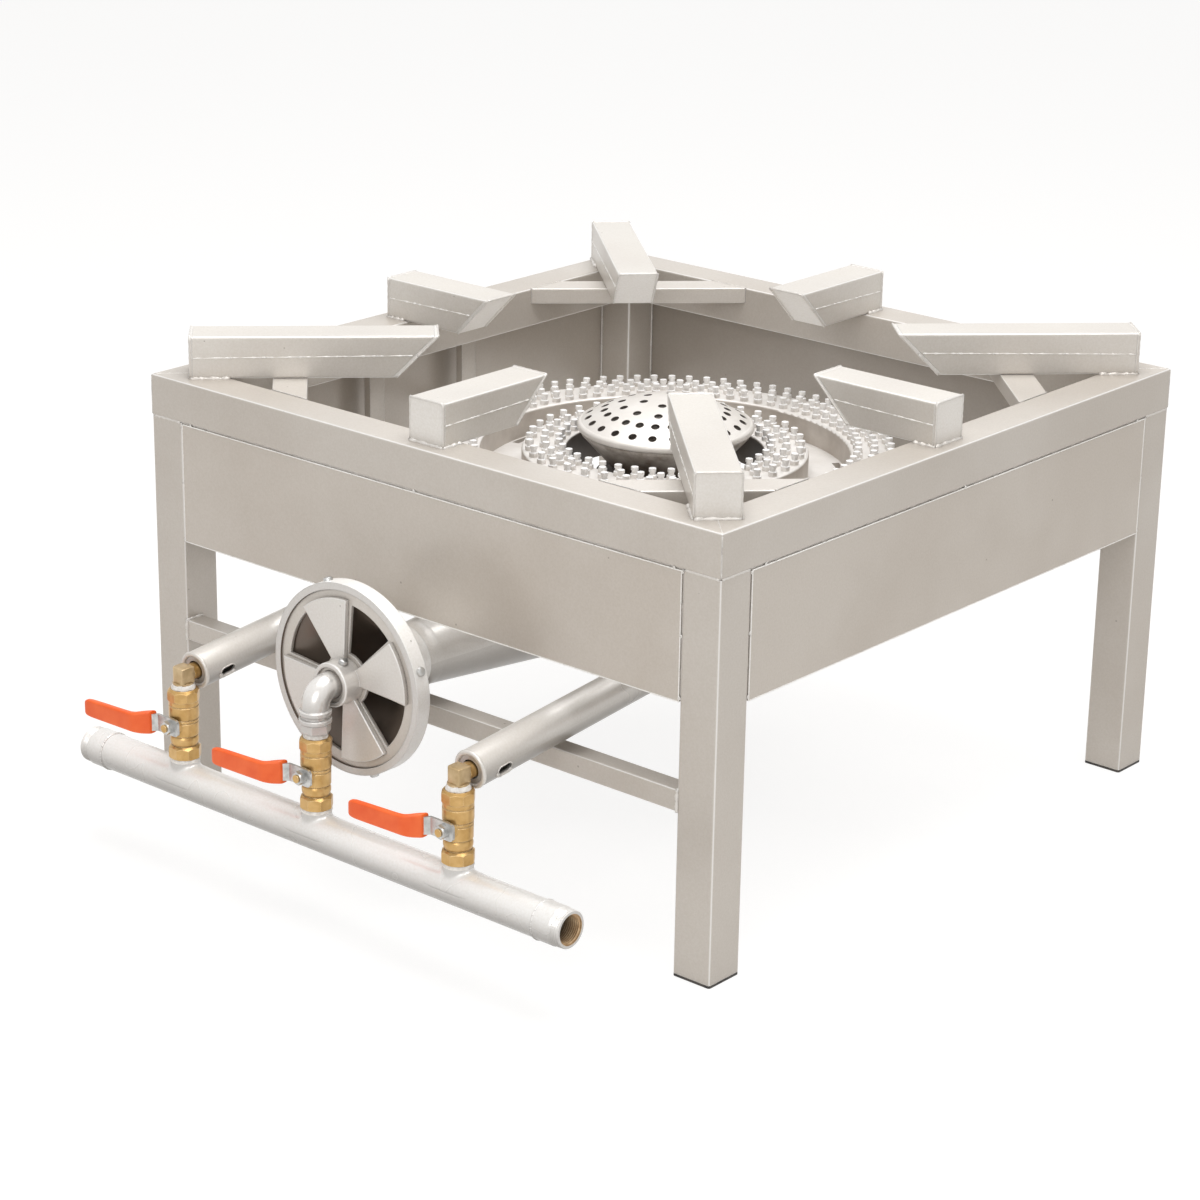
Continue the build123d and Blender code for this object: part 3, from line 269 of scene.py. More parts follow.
def weld(name, runs, radius, least, most, material):
    """A welded seam: stretches of one bead laid along straight runs."""
    stretch = bead(radius, least, most)
    spots = []
    for start, end in runs:
        way = end - start
        count = max(1, round(way.length / BEAD_LENGTH))
        turn = way.to_track_quat("X", "Z").to_matrix().to_4x4()
        for index in range(count):
            roll = Matrix.Rotation(random.uniform(0, 2 * pi), 4, "X")
            fit = Matrix.Diagonal((way.length / count / BEAD_LENGTH, 1, 1, 1))
            spots.append(Matrix.Translation(start + way * (index / count)) @ turn @ fit @ roll)
    set_out(stretch, name, spots, material, "stove")


SQUARE = ((1, 0, 0), (0, 1, 0), (0, 0, 1))    # tube that runs along the axes
LEVEL = ((0, 0, 1), (1, 1, 0))                # level tube that runs any way
stand_paint = silver_paint("aluminium_paint_on_steel", "#CBC5BE", "#C4BDB5", 0.28, 0.4, SQUARE)
dress(stand_paint, "top_rails", "front_rail", "front_burner_strap", "rear_burner_strap", *LEGS)
brace_paint = silver_paint("aluminium_paint_on_flat_tube", "#D6D1CB", "#CFC9C2", 0.28, 0.4, LEVEL)
dress(brace_paint, "corner_braces")
# A lighter copy of the paint for the welds: painted highlight on the raised beads.
weld_paint = silver_paint("aluminium_paint_on_welds", "#E2DFDB", "#D6D1CB", 0.3, 0.34, corner_shade=0.2)
SEAM_INSET = 0.003      # ends of a seam from the edges of its tube
LEG_SINK = 0.0017       # how deep the middle of a leg's bead lies in the joint
MITRE_SINK = 0.0004     # the middle of a mitre's bead under the top face
EDGE_SINK = 0.0006      # and behind the outer edge
leg_runs = []
for name in LEGS:
    low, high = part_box(name)
    for x in (low.x + LEG_SINK, high.x - LEG_SINK):
        leg_runs.append((Vector((x, low.y + SEAM_INSET, RING_BOTTOM)), Vector((x, high.y - SEAM_INSET, RING_BOTTOM))))
    for y in (low.y + LEG_SINK, high.y - LEG_SINK):
        leg_runs.append((Vector((low.x + SEAM_INSET, y, RING_BOTTOM)), Vector((high.x - SEAM_INSET, y, RING_BOTTOM))))
weld("leg_seams", leg_runs, 0.0024, 0.75, 1.12, weld_paint)
brace_runs = []
for side in (-1, 1):
    for depth, setback in SETBACKS.items():
        out = Vector((side, depth, 0))
        corner = MIDDLE + out * (RING_REACH - TUBE_SIDE)
        corner.z = RING_TOP
        for way in (Vector((-side, 0, 0)), Vector((0, -depth, 0))):
            brace_runs.append((corner + way * setback, corner + way * (setback + BRACE_RUN)))
        outer = MIDDLE + out * (RING_REACH - SEAM_INSET)
        outer.z = corner.z = RING_TOP - MITRE_SINK
        brace_runs.append((outer, corner))
        edge = MIDDLE + out * (RING_REACH - EDGE_SINK)
        edge.z = RING_TOP - SEAM_INSET
        brace_runs.append((edge, edge - Vector((0, 0, TUBE_SIDE - 2 * SEAM_INSET))))
weld("brace_and_mitre_seams", brace_runs, 0.0010, 0.5, 1.2, weld_paint)
low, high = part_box("front_rail")
rail_runs = []
for x in (low.x, high.x):
    rail_runs.append((Vector((x, low.y, high.z)), Vector((x, high.y, high.z))))
    rail_runs.append((Vector((x, low.y, low.z)), Vector((x, low.y, high.z))))
weld("front_rail_welds", rail_runs, 0.0020, 0.6, 1.3, weld_paint)

# The leg ends: pressed plugs of black polyethylene that close the tubes.
# Moulded, so they are even and dull, with a little floor dust.
plug_plastic = mottled("black_polyethylene_plug", {"Scale": per(8), "Detail": 4.0},
                       [(0.4, "#2B2825"), (0.75, "#57514B")], 0.0, 0.6)
dress(plug_plastic, "leg_end_caps")

# The panels: steel sheet let in flush between the legs and under the top ring.
# Tacked through the joint and run with a bead from the inside, then sprayed with the same paint.
# The flat faces show the sprayer's soft clouds; inside, the front and rear sheets are painted darker as painted shade.
PANELS = {"front_panel": 1, "rear_panel": 1, "left_panel": 0, "right_panel": 0}    # axis across the sheet
JOINT = 0.0004         # half the gap round a panel
BEAD_DEPTH = 0.0010    # from the inner face of a panel to the middle of its bead
BURR_INSET = 0.0006    # from the edge of a panel to the middle of its sheared burr
TACK_RADIUS = 0.0022
TACK_HEIGHT = 0.3      # a tack is ground down to this share


def offset_from(tree, spot, middle, shares):
    """Way from a middle to each spot of a piece, taken by a share along each axis."""
    way = add_node(tree, "VectorMath", {0: spot, 1: middle}, operation="SUBTRACT")
    return add_node(tree, "VectorMath", {0: way.outputs[0], 1: shares}, operation="MULTIPLY").outputs[0]


def jitter(offset, seed):
    """Pushes the active piece a little out of true and smooths it."""
    edit_all()
    bpy.ops.transform.vertex_random(offset=offset, seed=seed)
    bpy.ops.object.mode_set(mode="OBJECT")
    bpy.ops.object.shade_smooth()


panel_paint = silver_paint("aluminium_paint_on_sheet", "#CBC4BC", "#C4BCB3", 0.3, 0.36)
tree, spot = workings(panel_paint)
# Painted shade: the inner faces, mostly of the front and rear sheets, are painted darker.
to_middle = offset_from(tree, spot, MIDDLE, (-0.3, -1, 0))    # mostly from front or rear
sheet_normal = add_node(tree, "NewGeometry").outputs["True Normal"]
inner_face_shade = add_node(tree, "VectorMath", {0: to_middle, 1: sheet_normal}, operation="DOT_PRODUCT")
overlay(tree, "#5E534A", inner_face_shade.outputs["Value"], (0.1, 0.35), (0.0, 0.36))
dress(panel_paint, *PANELS)
fresh()
bpy.ops.mesh.primitive_uv_sphere_add(segments=10, ring_count=6, radius=TACK_RADIUS)
tack = bpy.context.object
jitter(0.0004, 3)
inside_runs, burr_runs, tack_spots = [], [], []
for name, across in PANELS.items():
    low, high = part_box(name)
    along = 1 - across
    inner, outer = high[across], low[across]
    if low[across] > MIDDLE[across]:
        inner, outer = outer, inner
    deep = inner + copysign(BEAD_DEPTH, inner - outer)
    for place, slack, runs in ((deep, JOINT, inside_runs), (outer, -BURR_INSET, burr_runs)):
        start, end = low[along] - slack, high[along] + slack
        corners = []
        for reach, level in ((start, low.z), (start, high.z + slack), (end, high.z + slack), (end, low.z),
                             (start, low.z)):
            corner = Vector((0, 0, level))
            corner[across] = place
            corner[along] = reach
            corners.append(corner)
        runs += list(zip(corners, corners[1:4] if slack > 0 else corners[1:]))
    for first, last in inside_runs[-3:]:
        for share in (0.03, 0.5, 0.97):
            point = first.lerp(last, share + random.uniform(-0.02, 0.02))
            point[across] = outer
            flat = Vector((1, 1, 1))
            flat[across] = TACK_HEIGHT
            tack_spots.append(Matrix.Translation(point) @ Matrix.Diagonal((*flat, 1)))
weld("panel_inside_beads", inside_runs, 0.0014, 0.8, 1.2, weld_paint)
# A near-white copy of the paint: painted highlight along the sheared edges of the sheets and the bar seams.
burr_paint = silver_paint("aluminium_paint_on_sheared_edges", "#FBFAF8", "#EFEDEA", 0.1, 0.4, round_piece=True,
                          corner_shade=0.0)
weld("panel_edge_burrs", burr_runs, 0.0007, 0.9, 1.1, burr_paint)
set_out(tack, "panel_tacks", tack_spots, weld_paint, "stove")

# The pot bars: eight lengths of tube folded from two channels, with an undercut nose, plated at both ends.
# Each has a ragged seam at half height, beads round its end plates and heavy welds at its foot.
# The same paint, painted a shade lighter as painted light, and lighter still on the raised beads as painted highlight.
BAR_SIDE = 0.050
CORNER_BAR = (0.268, 0.555, 0.046)    # nose and outer end, from the middle of the stand; length of the foot welds
SIDE_BAR = (0.240, 0.408, 0.028)
BARS = {"front_left_bar": (225, CORNER_BAR, 0), "front_right_bar": (-45, CORNER_BAR, 0),
        "rear_right_bar": (45, CORNER_BAR, 0), "rear_left_bar": (137.5, CORNER_BAR, 0),
        "front_bar": (270, SIDE_BAR, 0), "right_bar": (0, SIDE_BAR, -0.010),
        "rear_bar": (90, SIDE_BAR, 0.012), "left_bar": (180, SIDE_BAR, 0.025)}    # angle, reach, shift
BURY = 0.0006              # how far a bead's middle lies under the edge it rounds
PLATE_LIFT = 0.001         # lower end of a plate's bead
FOOT_SPREAD = 1.03         # the foot welds stand this much wider than the beads
NOSE_SEAM = (0.030, 0.0265)     # ends of the tube seam: from the end of the bar, height
OUTER_SEAM = (0.004, 0.0245)
# Painted light: the bars get a lighter copy of the stand's paint.
bar_paint = silver_paint("aluminium_paint_on_bars", "#DCD8D2", "#D6D1CB", 0.28, 0.38, LEVEL)
dress(bar_paint, *BARS)
plate_paint = silver_paint("aluminium_paint_on_end_plates", "#EAE7E3", "#E4E0DB", 0.28, 0.38)
dress(plate_paint, "bar_end_plates")
edge_runs, foot_runs, seam_runs = [], [], []
half = BAR_SIDE / 2 - BURY
top = BAR_SIDE - BURY
for angle, (nose, outer, foot), shift in BARS.values():
    frame_of_bar = (Matrix.Translation((MIDDLE.x, MIDDLE.y, RING_TOP)) @ Matrix.Rotation(radians(angle), 4, "Z")
                    @ Matrix.Translation((0, shift, 0)))
    end = outer - BURY
    edges = [((nose + BURY, -half, top), (nose + BURY, half, top)), ((end, -half, top), (end, half, top))]
    feet = [((outer, -half, 0), (outer, half, 0))]
    seams = []
    for side in (-half, half):
        flush = side + copysign(BURY, side)
        edges.append(((nose + BURY, side, top), (nose + top, side, BURY)))
        edges.append(((end, side, PLATE_LIFT), (end, side, top)))
        feet.append(((outer - foot, side * FOOT_SPREAD, 0), (outer, side * FOOT_SPREAD, 0)))
        seams.append(((nose + NOSE_SEAM[0], flush, NOSE_SEAM[1]), (outer - OUTER_SEAM[0], flush, OUTER_SEAM[1])))
    for lines, runs in ((edges, edge_runs), (feet, foot_runs), (seams, seam_runs)):
        runs += [(frame_of_bar @ Vector(first), frame_of_bar @ Vector(last)) for first, last in lines]
weld("bar_plate_beads", edge_runs, 0.0014, 0.8, 1.15, weld_paint)
weld("bar_foot_welds", foot_runs, 0.0027, 0.6, 1.35, weld_paint)
weld("bar_tube_seams", seam_runs, 0.0008, 0.2, 1.6, burr_paint)

# The ring burners: channels of pressed steel closed by a round base plate with air slots.
# Sprayed silver once and greyed by heat on the walls; the faces turned up are painted paler as painted light, and the
# innermost bore dark brown as painted shade.
BORE_SHADE_FADE = (0.1172, 0.1182)    # radii between which the painted shade of the innermost bore gives out
burner_steel = mottled("heat_greyed_silver_steel", {"Scale": per(38), "Detail": 5.0, "Roughness": 0.6},
                       [(0.3, "#ADA49B"), (0.7, "#C5BEB6")], 0.3, 0.46)
tree, spot = workings(burner_steel)
# Painted light: faces turned up get a paler tone.
lit_top_tone = add_node(tree, "ValToRGB", {"Fac": tree.nodes["mottle"].outputs["Fac"]},
                    [(0.3, "#DCD8D3"), (0.7, "#EAE7E4")])
facing = add_node(tree, "SeparateXYZ", {"Vector": add_node(tree, "NewGeometry").outputs["Normal"]})
overlay(tree, lit_top_tone.outputs["Color"], facing.outputs["Z"], (0.3, 0.8))
away = add_node(tree, "VectorMath", {0: offset_from(tree, spot, MIDDLE, (1, 1, 0))}, operation="LENGTH")
# Painted shade: dark brown in the innermost bore.
overlay(tree, "#40362E", away.outputs["Value"], BORE_SHADE_FADE, (0.88, 0.0))
grained(burner_steel, 3, 3.0, 0.15, 0.0006)
dress(burner_steel, "burner_base_plate", "outer_ring_burner", "middle_ring_burner")

# The jets: small turned nozzles with a wide collar, a neck and a flat head, set in three rows on each ring.
# Bare bright metal, with painted shade on its grey foot and painted highlights on the faces turned up.
RING_BURNER_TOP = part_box("outer_ring_burner")[1].z
JET_OUTLINE = ((0.0053, 0.0), (0.0053, 0.0056), (0.0037, 0.0062), (0.0034, 0.0094), (0.0044, 0.0099),
               (0.0044, 0.0138))    # radius, height
JET_RINGS = (("outer_ring_jets", 0.219, 0.056, 76), ("middle_ring_jets", 0.117, 0.053, 38))    # bore, width, count
JET_MARGIN = 0.009     # from an edge of the ring to the nearest row
JET_SINK = 0.0004      # how deep a jet sits in the ring
JET_LEAN = 0.03        # at most, in radians
FOOT_SHADE_HEIGHT = 0.007


def turned(name, outline, sides):
    """Piece turned about its own upright axis: a loop of edges extruded and resized along an outline."""
    fresh()
    (radius, level), *rest = outline
    bpy.ops.mesh.primitive_circle_add(vertices=sides, radius=radius, location=(0, 0, level))
    piece = bpy.context.object
    piece.name = name
    bpy.ops.object.transform_apply()
    edit_all()
    for next_radius, next_level in rest:
        bpy.ops.mesh.extrude_region_move(TRANSFORM_OT_translate={"value": (0, 0, next_level - level)})
        share = next_radius / radius
        bpy.ops.transform.resize(value=(share, share, 1), center_override=(0, 0, 0))
        radius, level = next_radius, next_level
    close_up()
    bpy.ops.object.shade_smooth_by_angle(angle=radians(35))
    return piece


jet_metal = mottled("bright_turned_jet_metal", {"Scale": per(11), "Detail": 3.0},
                    [(0.35, "#C6C0B9"), (0.7, "#E4E0DC")], 0.35, 0.36)
tree, spot = workings(jet_metal)
# Painted shade: the jet stays greyer near its foot and turns pale above it.
pale = add_node(tree, "ValToRGB", {"Fac": tree.nodes["mottle"].outputs["Fac"]},
                [(0.3, "#E6E3E0"), (0.7, "#F8F7F6")])
height = add_node(tree, "SeparateXYZ", {"Vector": spot})
overlay(tree, pale.outputs["Color"], height.outputs["Z"], (RING_BURNER_TOP, RING_BURNER_TOP + FOOT_SHADE_HEIGHT))
# Painted highlight: faces turned up turn white.
facing = add_node(tree, "SeparateXYZ", {"Vector": add_node(tree, "NewGeometry").outputs["Normal"]})
overlay(tree, "#FFFFFF", facing.outputs["Z"], (0.5, 0.9))
jet = turned("jet", JET_OUTLINE, 8)
for ring_name, bore, width, count in JET_RINGS:
    spots = []
    for row in range(3):
        radius = bore + JET_MARGIN + (width - 2 * JET_MARGIN) * row / 2
        for index in range(count):
            angle = 2 * pi / count * (index + row % 2 / 2)
            lean = (Matrix.Rotation(random.uniform(-JET_LEAN, JET_LEAN), 4, "X")
                    @ Matrix.Rotation(random.uniform(-JET_LEAN, JET_LEAN), 4, "Y"))
            spots.append(Matrix.Translation((MIDDLE.x + radius * cos(angle), MIDDLE.y + radius * sin(angle),
                                             RING_BURNER_TOP - JET_SINK)) @ lean)
    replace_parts(set_out(jet, ring_name + "_turned", spots, jet_metal, "stove", True), ring_name)
bpy.data.objects.remove(jet)

# The centre burner: a cast bowl, painted darker and browner towards the bottom as painted shade, under a pressed,
# drilled cap.
# The cap is thick aluminium, satin, with fine wiping marks and dark brown painted shade on the walls of its holes.
CAP_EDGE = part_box("centre_burner_cap")[0].z + 0.0102    # upper end of the cap's plain edge
cap_metal = mottled("satin_aluminium_cap", {"Scale": per(26), "Detail": 4.0, "Distortion": 0.6},
                    [(0.3, "#D8D3CD"), (0.7, "#E1DDD8")], 0.4, 0.42)
tree, spot = workings(cap_metal)
cap_normal = add_node(tree, "SeparateXYZ", {"Vector": add_node(tree, "NewGeometry").outputs["True Normal"]})
# Painted shade: the walls of the holes above the plain edge turn dark brown.
hole_wall_shade = add_node(tree, "MapRange", {"From Min": 0.2, "From Max": 0.45, "To Min": 0.85, "To Max": 0.0,
                                        "Value": cap_normal.outputs["Z"]})
height = add_node(tree, "SeparateXYZ", {"Vector": spot})
above_edge = add_node(tree, "Math", {0: height.outputs["Z"], 1: CAP_EDGE}, operation="GREATER_THAN")
hole_shade = add_node(tree, "Math", {0: hole_wall_shade.outputs[0], 1: above_edge.outputs[0]}, operation="MULTIPLY")
overlay(tree, "#4B3F36", hole_shade.outputs[0])
grained(cap_metal, 2, 2.0, 0.05, 0.0005)
dress(cap_metal, "centre_burner_cap")
bowl_low, bowl_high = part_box("centre_burner_bowl")
bowl_metal = mottled("cast_bowl_with_painted_shade", {"Scale": per(30), "Detail": 6.0, "Roughness": 0.65},
                     [(0.3, "#A3978C"), (0.6, "#FFFFFF")], 0.35, 0.42)
tree, spot = workings(bowl_metal)
# Painted shade: the bowl is darker and browner towards the bottom.
height = add_node(tree, "SeparateXYZ", {"Vector": spot})
climb = add_node(tree, "MapRange", {"From Min": bowl_low.z, "From Max": bowl_high.z, "Value": height.outputs["Z"]})
downward_shade = add_node(tree, "ValToRGB", {"Fac": climb.outputs[0]},
                [(0.15, "#5C5046"), (0.6, "#8A7F75"), (0.95, "#CFC9C2")])
overlay(tree, downward_shade.outputs["Color"], 1.0, blend="MULTIPLY")
dress(bowl_metal, "centre_burner_bowl")

# The centre feed: venturi, bell mouth with its deep rim, fixed register plate and the rotary shutter.
# Sand cast iron, turned on the rim and sprayed silver; the inside of the bell is painted dark brown as painted shade,
# and the faces turned to the front and the faces turned down a little darker as painted shade.
FACED = ((0, 1, 0), (1, 0, 1))    # faces turned square to the air's way
rim_low, rim_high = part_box("bell_mouth")
AIR_AXIS = (rim_low + rim_high) / 2
AIR_AXIS.y = 0
cast_paint = silver_paint("silver_paint_on_casting", "#D6D1CB", "#CFC9C2", 0.24, 0.36, FACED)
dress(cast_paint, "register_plate")
shutter_paint = silver_paint("silver_paint_on_shutter", "#E2DFDB", "#DCD8D4", 0.28, 0.34, FACED)
dress(shutter_paint, "air_shutter")
# Painted shade: the tubes are painted darker on their undersides.
tube_paint = silver_paint("silver_paint_on_tubes", "#E8E5E1", "#E1DDD8", 0.34, 0.32, corner_shade=0.3, round_piece=True,
                          underside_shade=0.62)
dress(tube_paint, "venturi_tube")
# Painted shade: faces turned down are painted darker; below, the inside of the bell and the faces turned to the front
# are painted dark brown.
bell_paint = silver_paint("silver_paint_on_bell", "#F7F6F4", "#F1EFED", 0.24, 0.36, underside_shade=0.22)
tree, spot = workings(bell_paint)
outwards = add_node(tree, "VectorMath", {0: offset_from(tree, spot, AIR_AXIS, (1, 0, 1))}, operation="NORMALIZE")
bell_normal = add_node(tree, "NewGeometry").outputs["True Normal"]
open_way = add_node(tree, "VectorMath", {0: outwards.outputs[0], 1: bell_normal}, operation="DOT_PRODUCT")
inside = add_node(tree, "MapRange", {"From Min": -0.12, "From Max": -0.02, "To Min": 1.0, "To Max": 0.0,
                                     "Value": open_way.outputs["Value"]})
facing = add_node(tree, "SeparateXYZ", {"Vector": bell_normal})
front_face_shade = add_node(tree, "MapRange", {"From Min": -0.95, "From Max": -0.6, "To Min": 0.2, "To Max": 0.0,
                                      "Value": facing.outputs["Y"]})
bell_shade = add_node(tree, "Math", {0: inside.outputs[0], 1: front_face_shade.outputs[0]}, operation="MAXIMUM")
overlay(tree, "#6E6258", bell_shade.outputs[0])
dress(bell_paint, "bell_mouth")

# The screws of the bell: four through the rim that hold the register plate and one in the shutter's hub.
# Zinc-plated steel with a low domed head, bright with faint grey spangles.
RIM_SCREW_ANGLE = 18
HUB_SCREW_ANGLE = 72
RIM_RADIUS = (rim_high.x - rim_low.x) / 2
HUB_RADIUS = 0.0262
HEAD_OUTLINE = ((0.0052, -0.001), (0.0052, 0.0022), (0.0046, 0.0034), (0.0034, 0.0040), (0.0018, 0.0043))
rim_screws_low, rim_screws_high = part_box("rim_set_screws")
hub_low, hub_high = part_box("shutter_set_screw")


def screw_place(middle, degrees, radius):
    """Place on a circle round the air's way, facing outwards."""
    angle = radians(degrees)
    out = Vector((cos(angle), 0, sin(angle)))
    return Matrix.Translation(middle + out * radius) @ out.to_track_quat("Z", "Y").to_matrix().to_4x4()


zinc = mottled("zinc_plated_steel", {"Scale": per(7), "Detail": 3.0}, [(0.3, "#ABABA9"), (0.7, "#D2D2D0")], 0.85, 0.32)
head = turned("screw_head", HEAD_OUTLINE, 16)
rim_middle = (rim_screws_low + rim_screws_high) / 2
spots = [screw_place(rim_middle, RIM_SCREW_ANGLE + 90 * index, RIM_RADIUS) for index in range(4)]
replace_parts(set_out(head, "rim_screw_heads", spots, zinc, "stove", True), "rim_set_screws")
hub_middle = Vector((AIR_AXIS.x, (hub_low.y + hub_high.y) / 2, AIR_AXIS.z))
spots = [screw_place(hub_middle, HUB_SCREW_ANGLE, HUB_RADIUS)]
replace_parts(set_out(head, "hub_screw_head", spots, zinc, "shutter_wheel"), "shutter_set_screw")

# The mixing tubes: steel gas pipe that carries gas and air to the two rings, with a pierced end disc.
# The disc is welded in with a fat uneven bead; the paint is smooth, so long soft highlights run along the pipe.
# An air port is filed through the side of each tube, and paint has gathered on its lower edge.
MIXER_RISE = radians(5.5)
MIXER_RADIUS = 0.0212
LIP_INSET = 0.0023        # from the outside of the tube to the middle of the bead
LIP_THICKNESS = 0.0029    # radius of the bead
LIP_FLATNESS = 0.85
PORT_LENGTH = 0.022
PORT_WIDTH = 0.012
PORT_PLACE = 0.030           # from the end of the tube to the middle of the port
PORT_TURN = radians(72)      # from straight down, towards the right
PORT_STEPS = 16
LIP_DROP = 0.002             # the paint gathers from here down, under the middle of the port
BLOCK_SIDE = 0.019
BLOCK_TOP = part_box("brass_elbows")[1].z
FEED_LEVEL = BLOCK_TOP - BLOCK_SIDE / 2    # height of the side injectors
branches = {side: (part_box(f"{side}_lever_nut")[0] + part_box(f"{side}_lever_nut")[1]) / 2
            for side in ("left", "middle", "right")}
dress(tube_paint, "outer_mixing_tube", "middle_mixing_tube")
along_tube = Vector((0, cos(MIXER_RISE), sin(MIXER_RISE)))
tube_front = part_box("outer_mixing_tube")[0].y + MIXER_RADIUS * sin(MIXER_RISE)
tube_ends = [Vector((branches[side].x, tube_front, FEED_LEVEL)) for side in ("left", "right")]
fresh()
bpy.ops.mesh.primitive_torus_add(major_segments=40, minor_segments=10, major_radius=MIXER_RADIUS - LIP_INSET,
                                 minor_radius=LIP_THICKNESS)
lip = bpy.context.object
lip.scale.z = LIP_FLATNESS
bpy.ops.object.transform_apply()
jitter(0.0003, 5)
lip_turn = along_tube.to_track_quat("Z", "X").to_matrix().to_4x4()
set_out(lip, "mixing_tube_lips", [Matrix.Translation(end) @ lip_turn for end in tube_ends], weld_paint, "stove")
port_normal = Vector((sin(PORT_TURN), sin(MIXER_RISE) * cos(PORT_TURN), -cos(MIXER_RISE) * cos(PORT_TURN)))
port_across = port_normal.cross(along_tube)
rim_runs, lip_runs = [], []
for end in tube_ends:
    port_middle = end + along_tube * PORT_PLACE
    rim = []
    for index in range(PORT_STEPS + 1):
        angle = 2 * pi * index / PORT_STEPS
        ahead = copysign((PORT_LENGTH - PORT_WIDTH) / 2, cos(angle)) + PORT_WIDTH / 2 * cos(angle)
        aside = PORT_WIDTH / 2 * sin(angle)
        rim.append(port_middle + along_tube * ahead + port_across * aside
                   + port_normal * sqrt(MIXER_RADIUS ** 2 - aside ** 2))
    lip_level = (port_middle + port_normal * MIXER_RADIUS).z - LIP_DROP
    for first, last in zip(rim, rim[1:]):
        runs = lip_runs if (first.z + last.z) / 2 < lip_level else rim_runs
        runs.append((first, last))
weld("air_port_rims", rim_runs, 0.0009, 0.8, 1.15, tube_paint)
weld("air_port_lips", lip_runs, 0.0022, 0.85, 1.1, weld_paint)

# The manifold: one level gas pipe with a threaded socket welded on each end and three welded branch stubs.
# Sprayed with the stove; the socket threads inside are bare and brown with oil, with painted shade in the thread roots
# and deeper in the bore.
pipe_low, pipe_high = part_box("manifold_pipe")
TRAIN = (pipe_low + pipe_high) / 2
PIPE_RADIUS = (pipe_high.z - pipe_low.z) / 2
SOCKET_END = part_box("manifold_sockets")[1].x
SOCKET_LENGTH = SOCKET_END - pipe_high.x
SOCKET_BORE = 0.01515
SOCKET_RADIUS = 0.0218
SHELL_BORE = 0.0172      # the painted shell ends here
LINER_RADIUS = 0.0173    # and the bare threaded lining is buried in it
THREAD_PITCH = 0.0025
THREAD_DEPTH = 0.0016
THREAD_RADIUS = 0.0209    # crests of the few turns left bare outside
STUB_OUTLINE = ((0.0207, -0.046), (0.0218, -0.018), (0.0218, 0.018), (0.0207, 0.046))    # saddle on the pipe
SADDLE_LEVEL = TRAIN.z - 0.002    # the saddle is cut off level here
RISER_RADIUS = 0.0166
RISER = (TRAIN.z + 0.004, TRAIN.z + 0.033)    # lower and upper end
STUB_GRAIN = 0.0013    # saddle and riser are grown together in steps of this size, then smeared
STUB_SMEARS = 22
WELD_STEPS = 24
branch_places = [Matrix.Translation((middle.x, TRAIN.y, 0)) for middle in branches.values()]
# Painted shade: the pipe is painted darker on its underside.
pipe_paint = silver_paint("silver_paint_on_gas_pipe", "#F6F5F4", "#F0EFED", 0.26, 0.3, corner_shade=0.25, round_piece=True,
                          underside_shade=0.62)
dress(pipe_paint, "manifold_pipe")
shell_outline = [(SHELL_BORE, 0.0), (SOCKET_RADIUS, 0.0), (SOCKET_RADIUS, 0.0225), (0.0212, 0.0232)]
for index in range(4):
    start = 0.0240 + index * THREAD_PITCH
    shell_outline += [(THREAD_RADIUS, start), (THREAD_RADIUS - THREAD_DEPTH / 2, start + THREAD_PITCH / 2)]
shell_outline += [(0.0207, SOCKET_LENGTH - 0.0008), (0.0200, SOCKET_LENGTH), (SHELL_BORE, SOCKET_LENGTH),
                  (SHELL_BORE, 0.0)]
thread_outline = [(LINER_RADIUS, 0.0), (LINER_RADIUS, SOCKET_LENGTH),
                  (SOCKET_BORE + THREAD_DEPTH, SOCKET_LENGTH - 0.0004)]
for index in range(11):
    start = SOCKET_LENGTH - 0.0016 - index * THREAD_PITCH
    thread_outline += [(SOCKET_BORE + THREAD_DEPTH, start), (SOCKET_BORE, start - THREAD_PITCH / 2)]
thread_outline += [(SOCKET_BORE, 0.0), (LINER_RADIUS, 0.0)]
ends = [Matrix.Translation((x, TRAIN.y, TRAIN.z)) @ Matrix.Rotation(turn, 4, "Y")
        for x, turn in ((pipe_high.x, pi / 2), (pipe_low.x, -pi / 2))]
shell = turned("socket_shell", shell_outline, 48)
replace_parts(set_out(shell, "end_sockets", ends, pipe_paint, "stove"), "manifold_sockets")
oily = mottled("oiled_steel_thread", {"Scale": per(6), "Detail": 4.0}, [(0.3, "#A98863"), (0.7, "#CDB08A")], 0.6, 0.4)
tree, spot = workings(oily)
# Painted shade: dark in the roots of the threads.
thread_root_shade = add_node(tree, "AmbientOcclusion", {"Distance": 0.0016}, samples=4)
overlay(tree, "#2E2014", thread_root_shade.outputs["AO"], (0.4, 0.8), (0.9, 0.0))
# Painted shade: darker the deeper into the socket.
along_pipe = add_node(tree, "SeparateXYZ", {"Vector": spot})
reach = add_node(tree, "Math", {0: along_pipe.outputs["X"]}, operation="ABSOLUTE")
overlay(tree, "#1E150D", reach.outputs[0], (SOCKET_END - 0.024, SOCKET_END - 0.006), (0.85, 0.0))
thread = turned("socket_thread", thread_outline, 40)
set_out(thread, "socket_threads", ends, oily, "stove")


def modified(piece, kind, **settings):
    """Gives a piece a modifier with its settings, and applies it."""
    change = piece.modifiers.new(kind, kind)
    for key, value in settings.items():
        setattr(change, key, value)
    fresh()
    piece.select_set(True)
    bpy.context.view_layer.objects.active = piece
    bpy.ops.object.modifier_apply(modifier=change.name)


def carve(piece, tool, operation):
    """Joins, cuts or trims a piece with another one, which is used up."""
    modified(piece, "BOOLEAN", operation=operation, solver="EXACT", object=tool)
    bpy.data.objects.remove(tool)


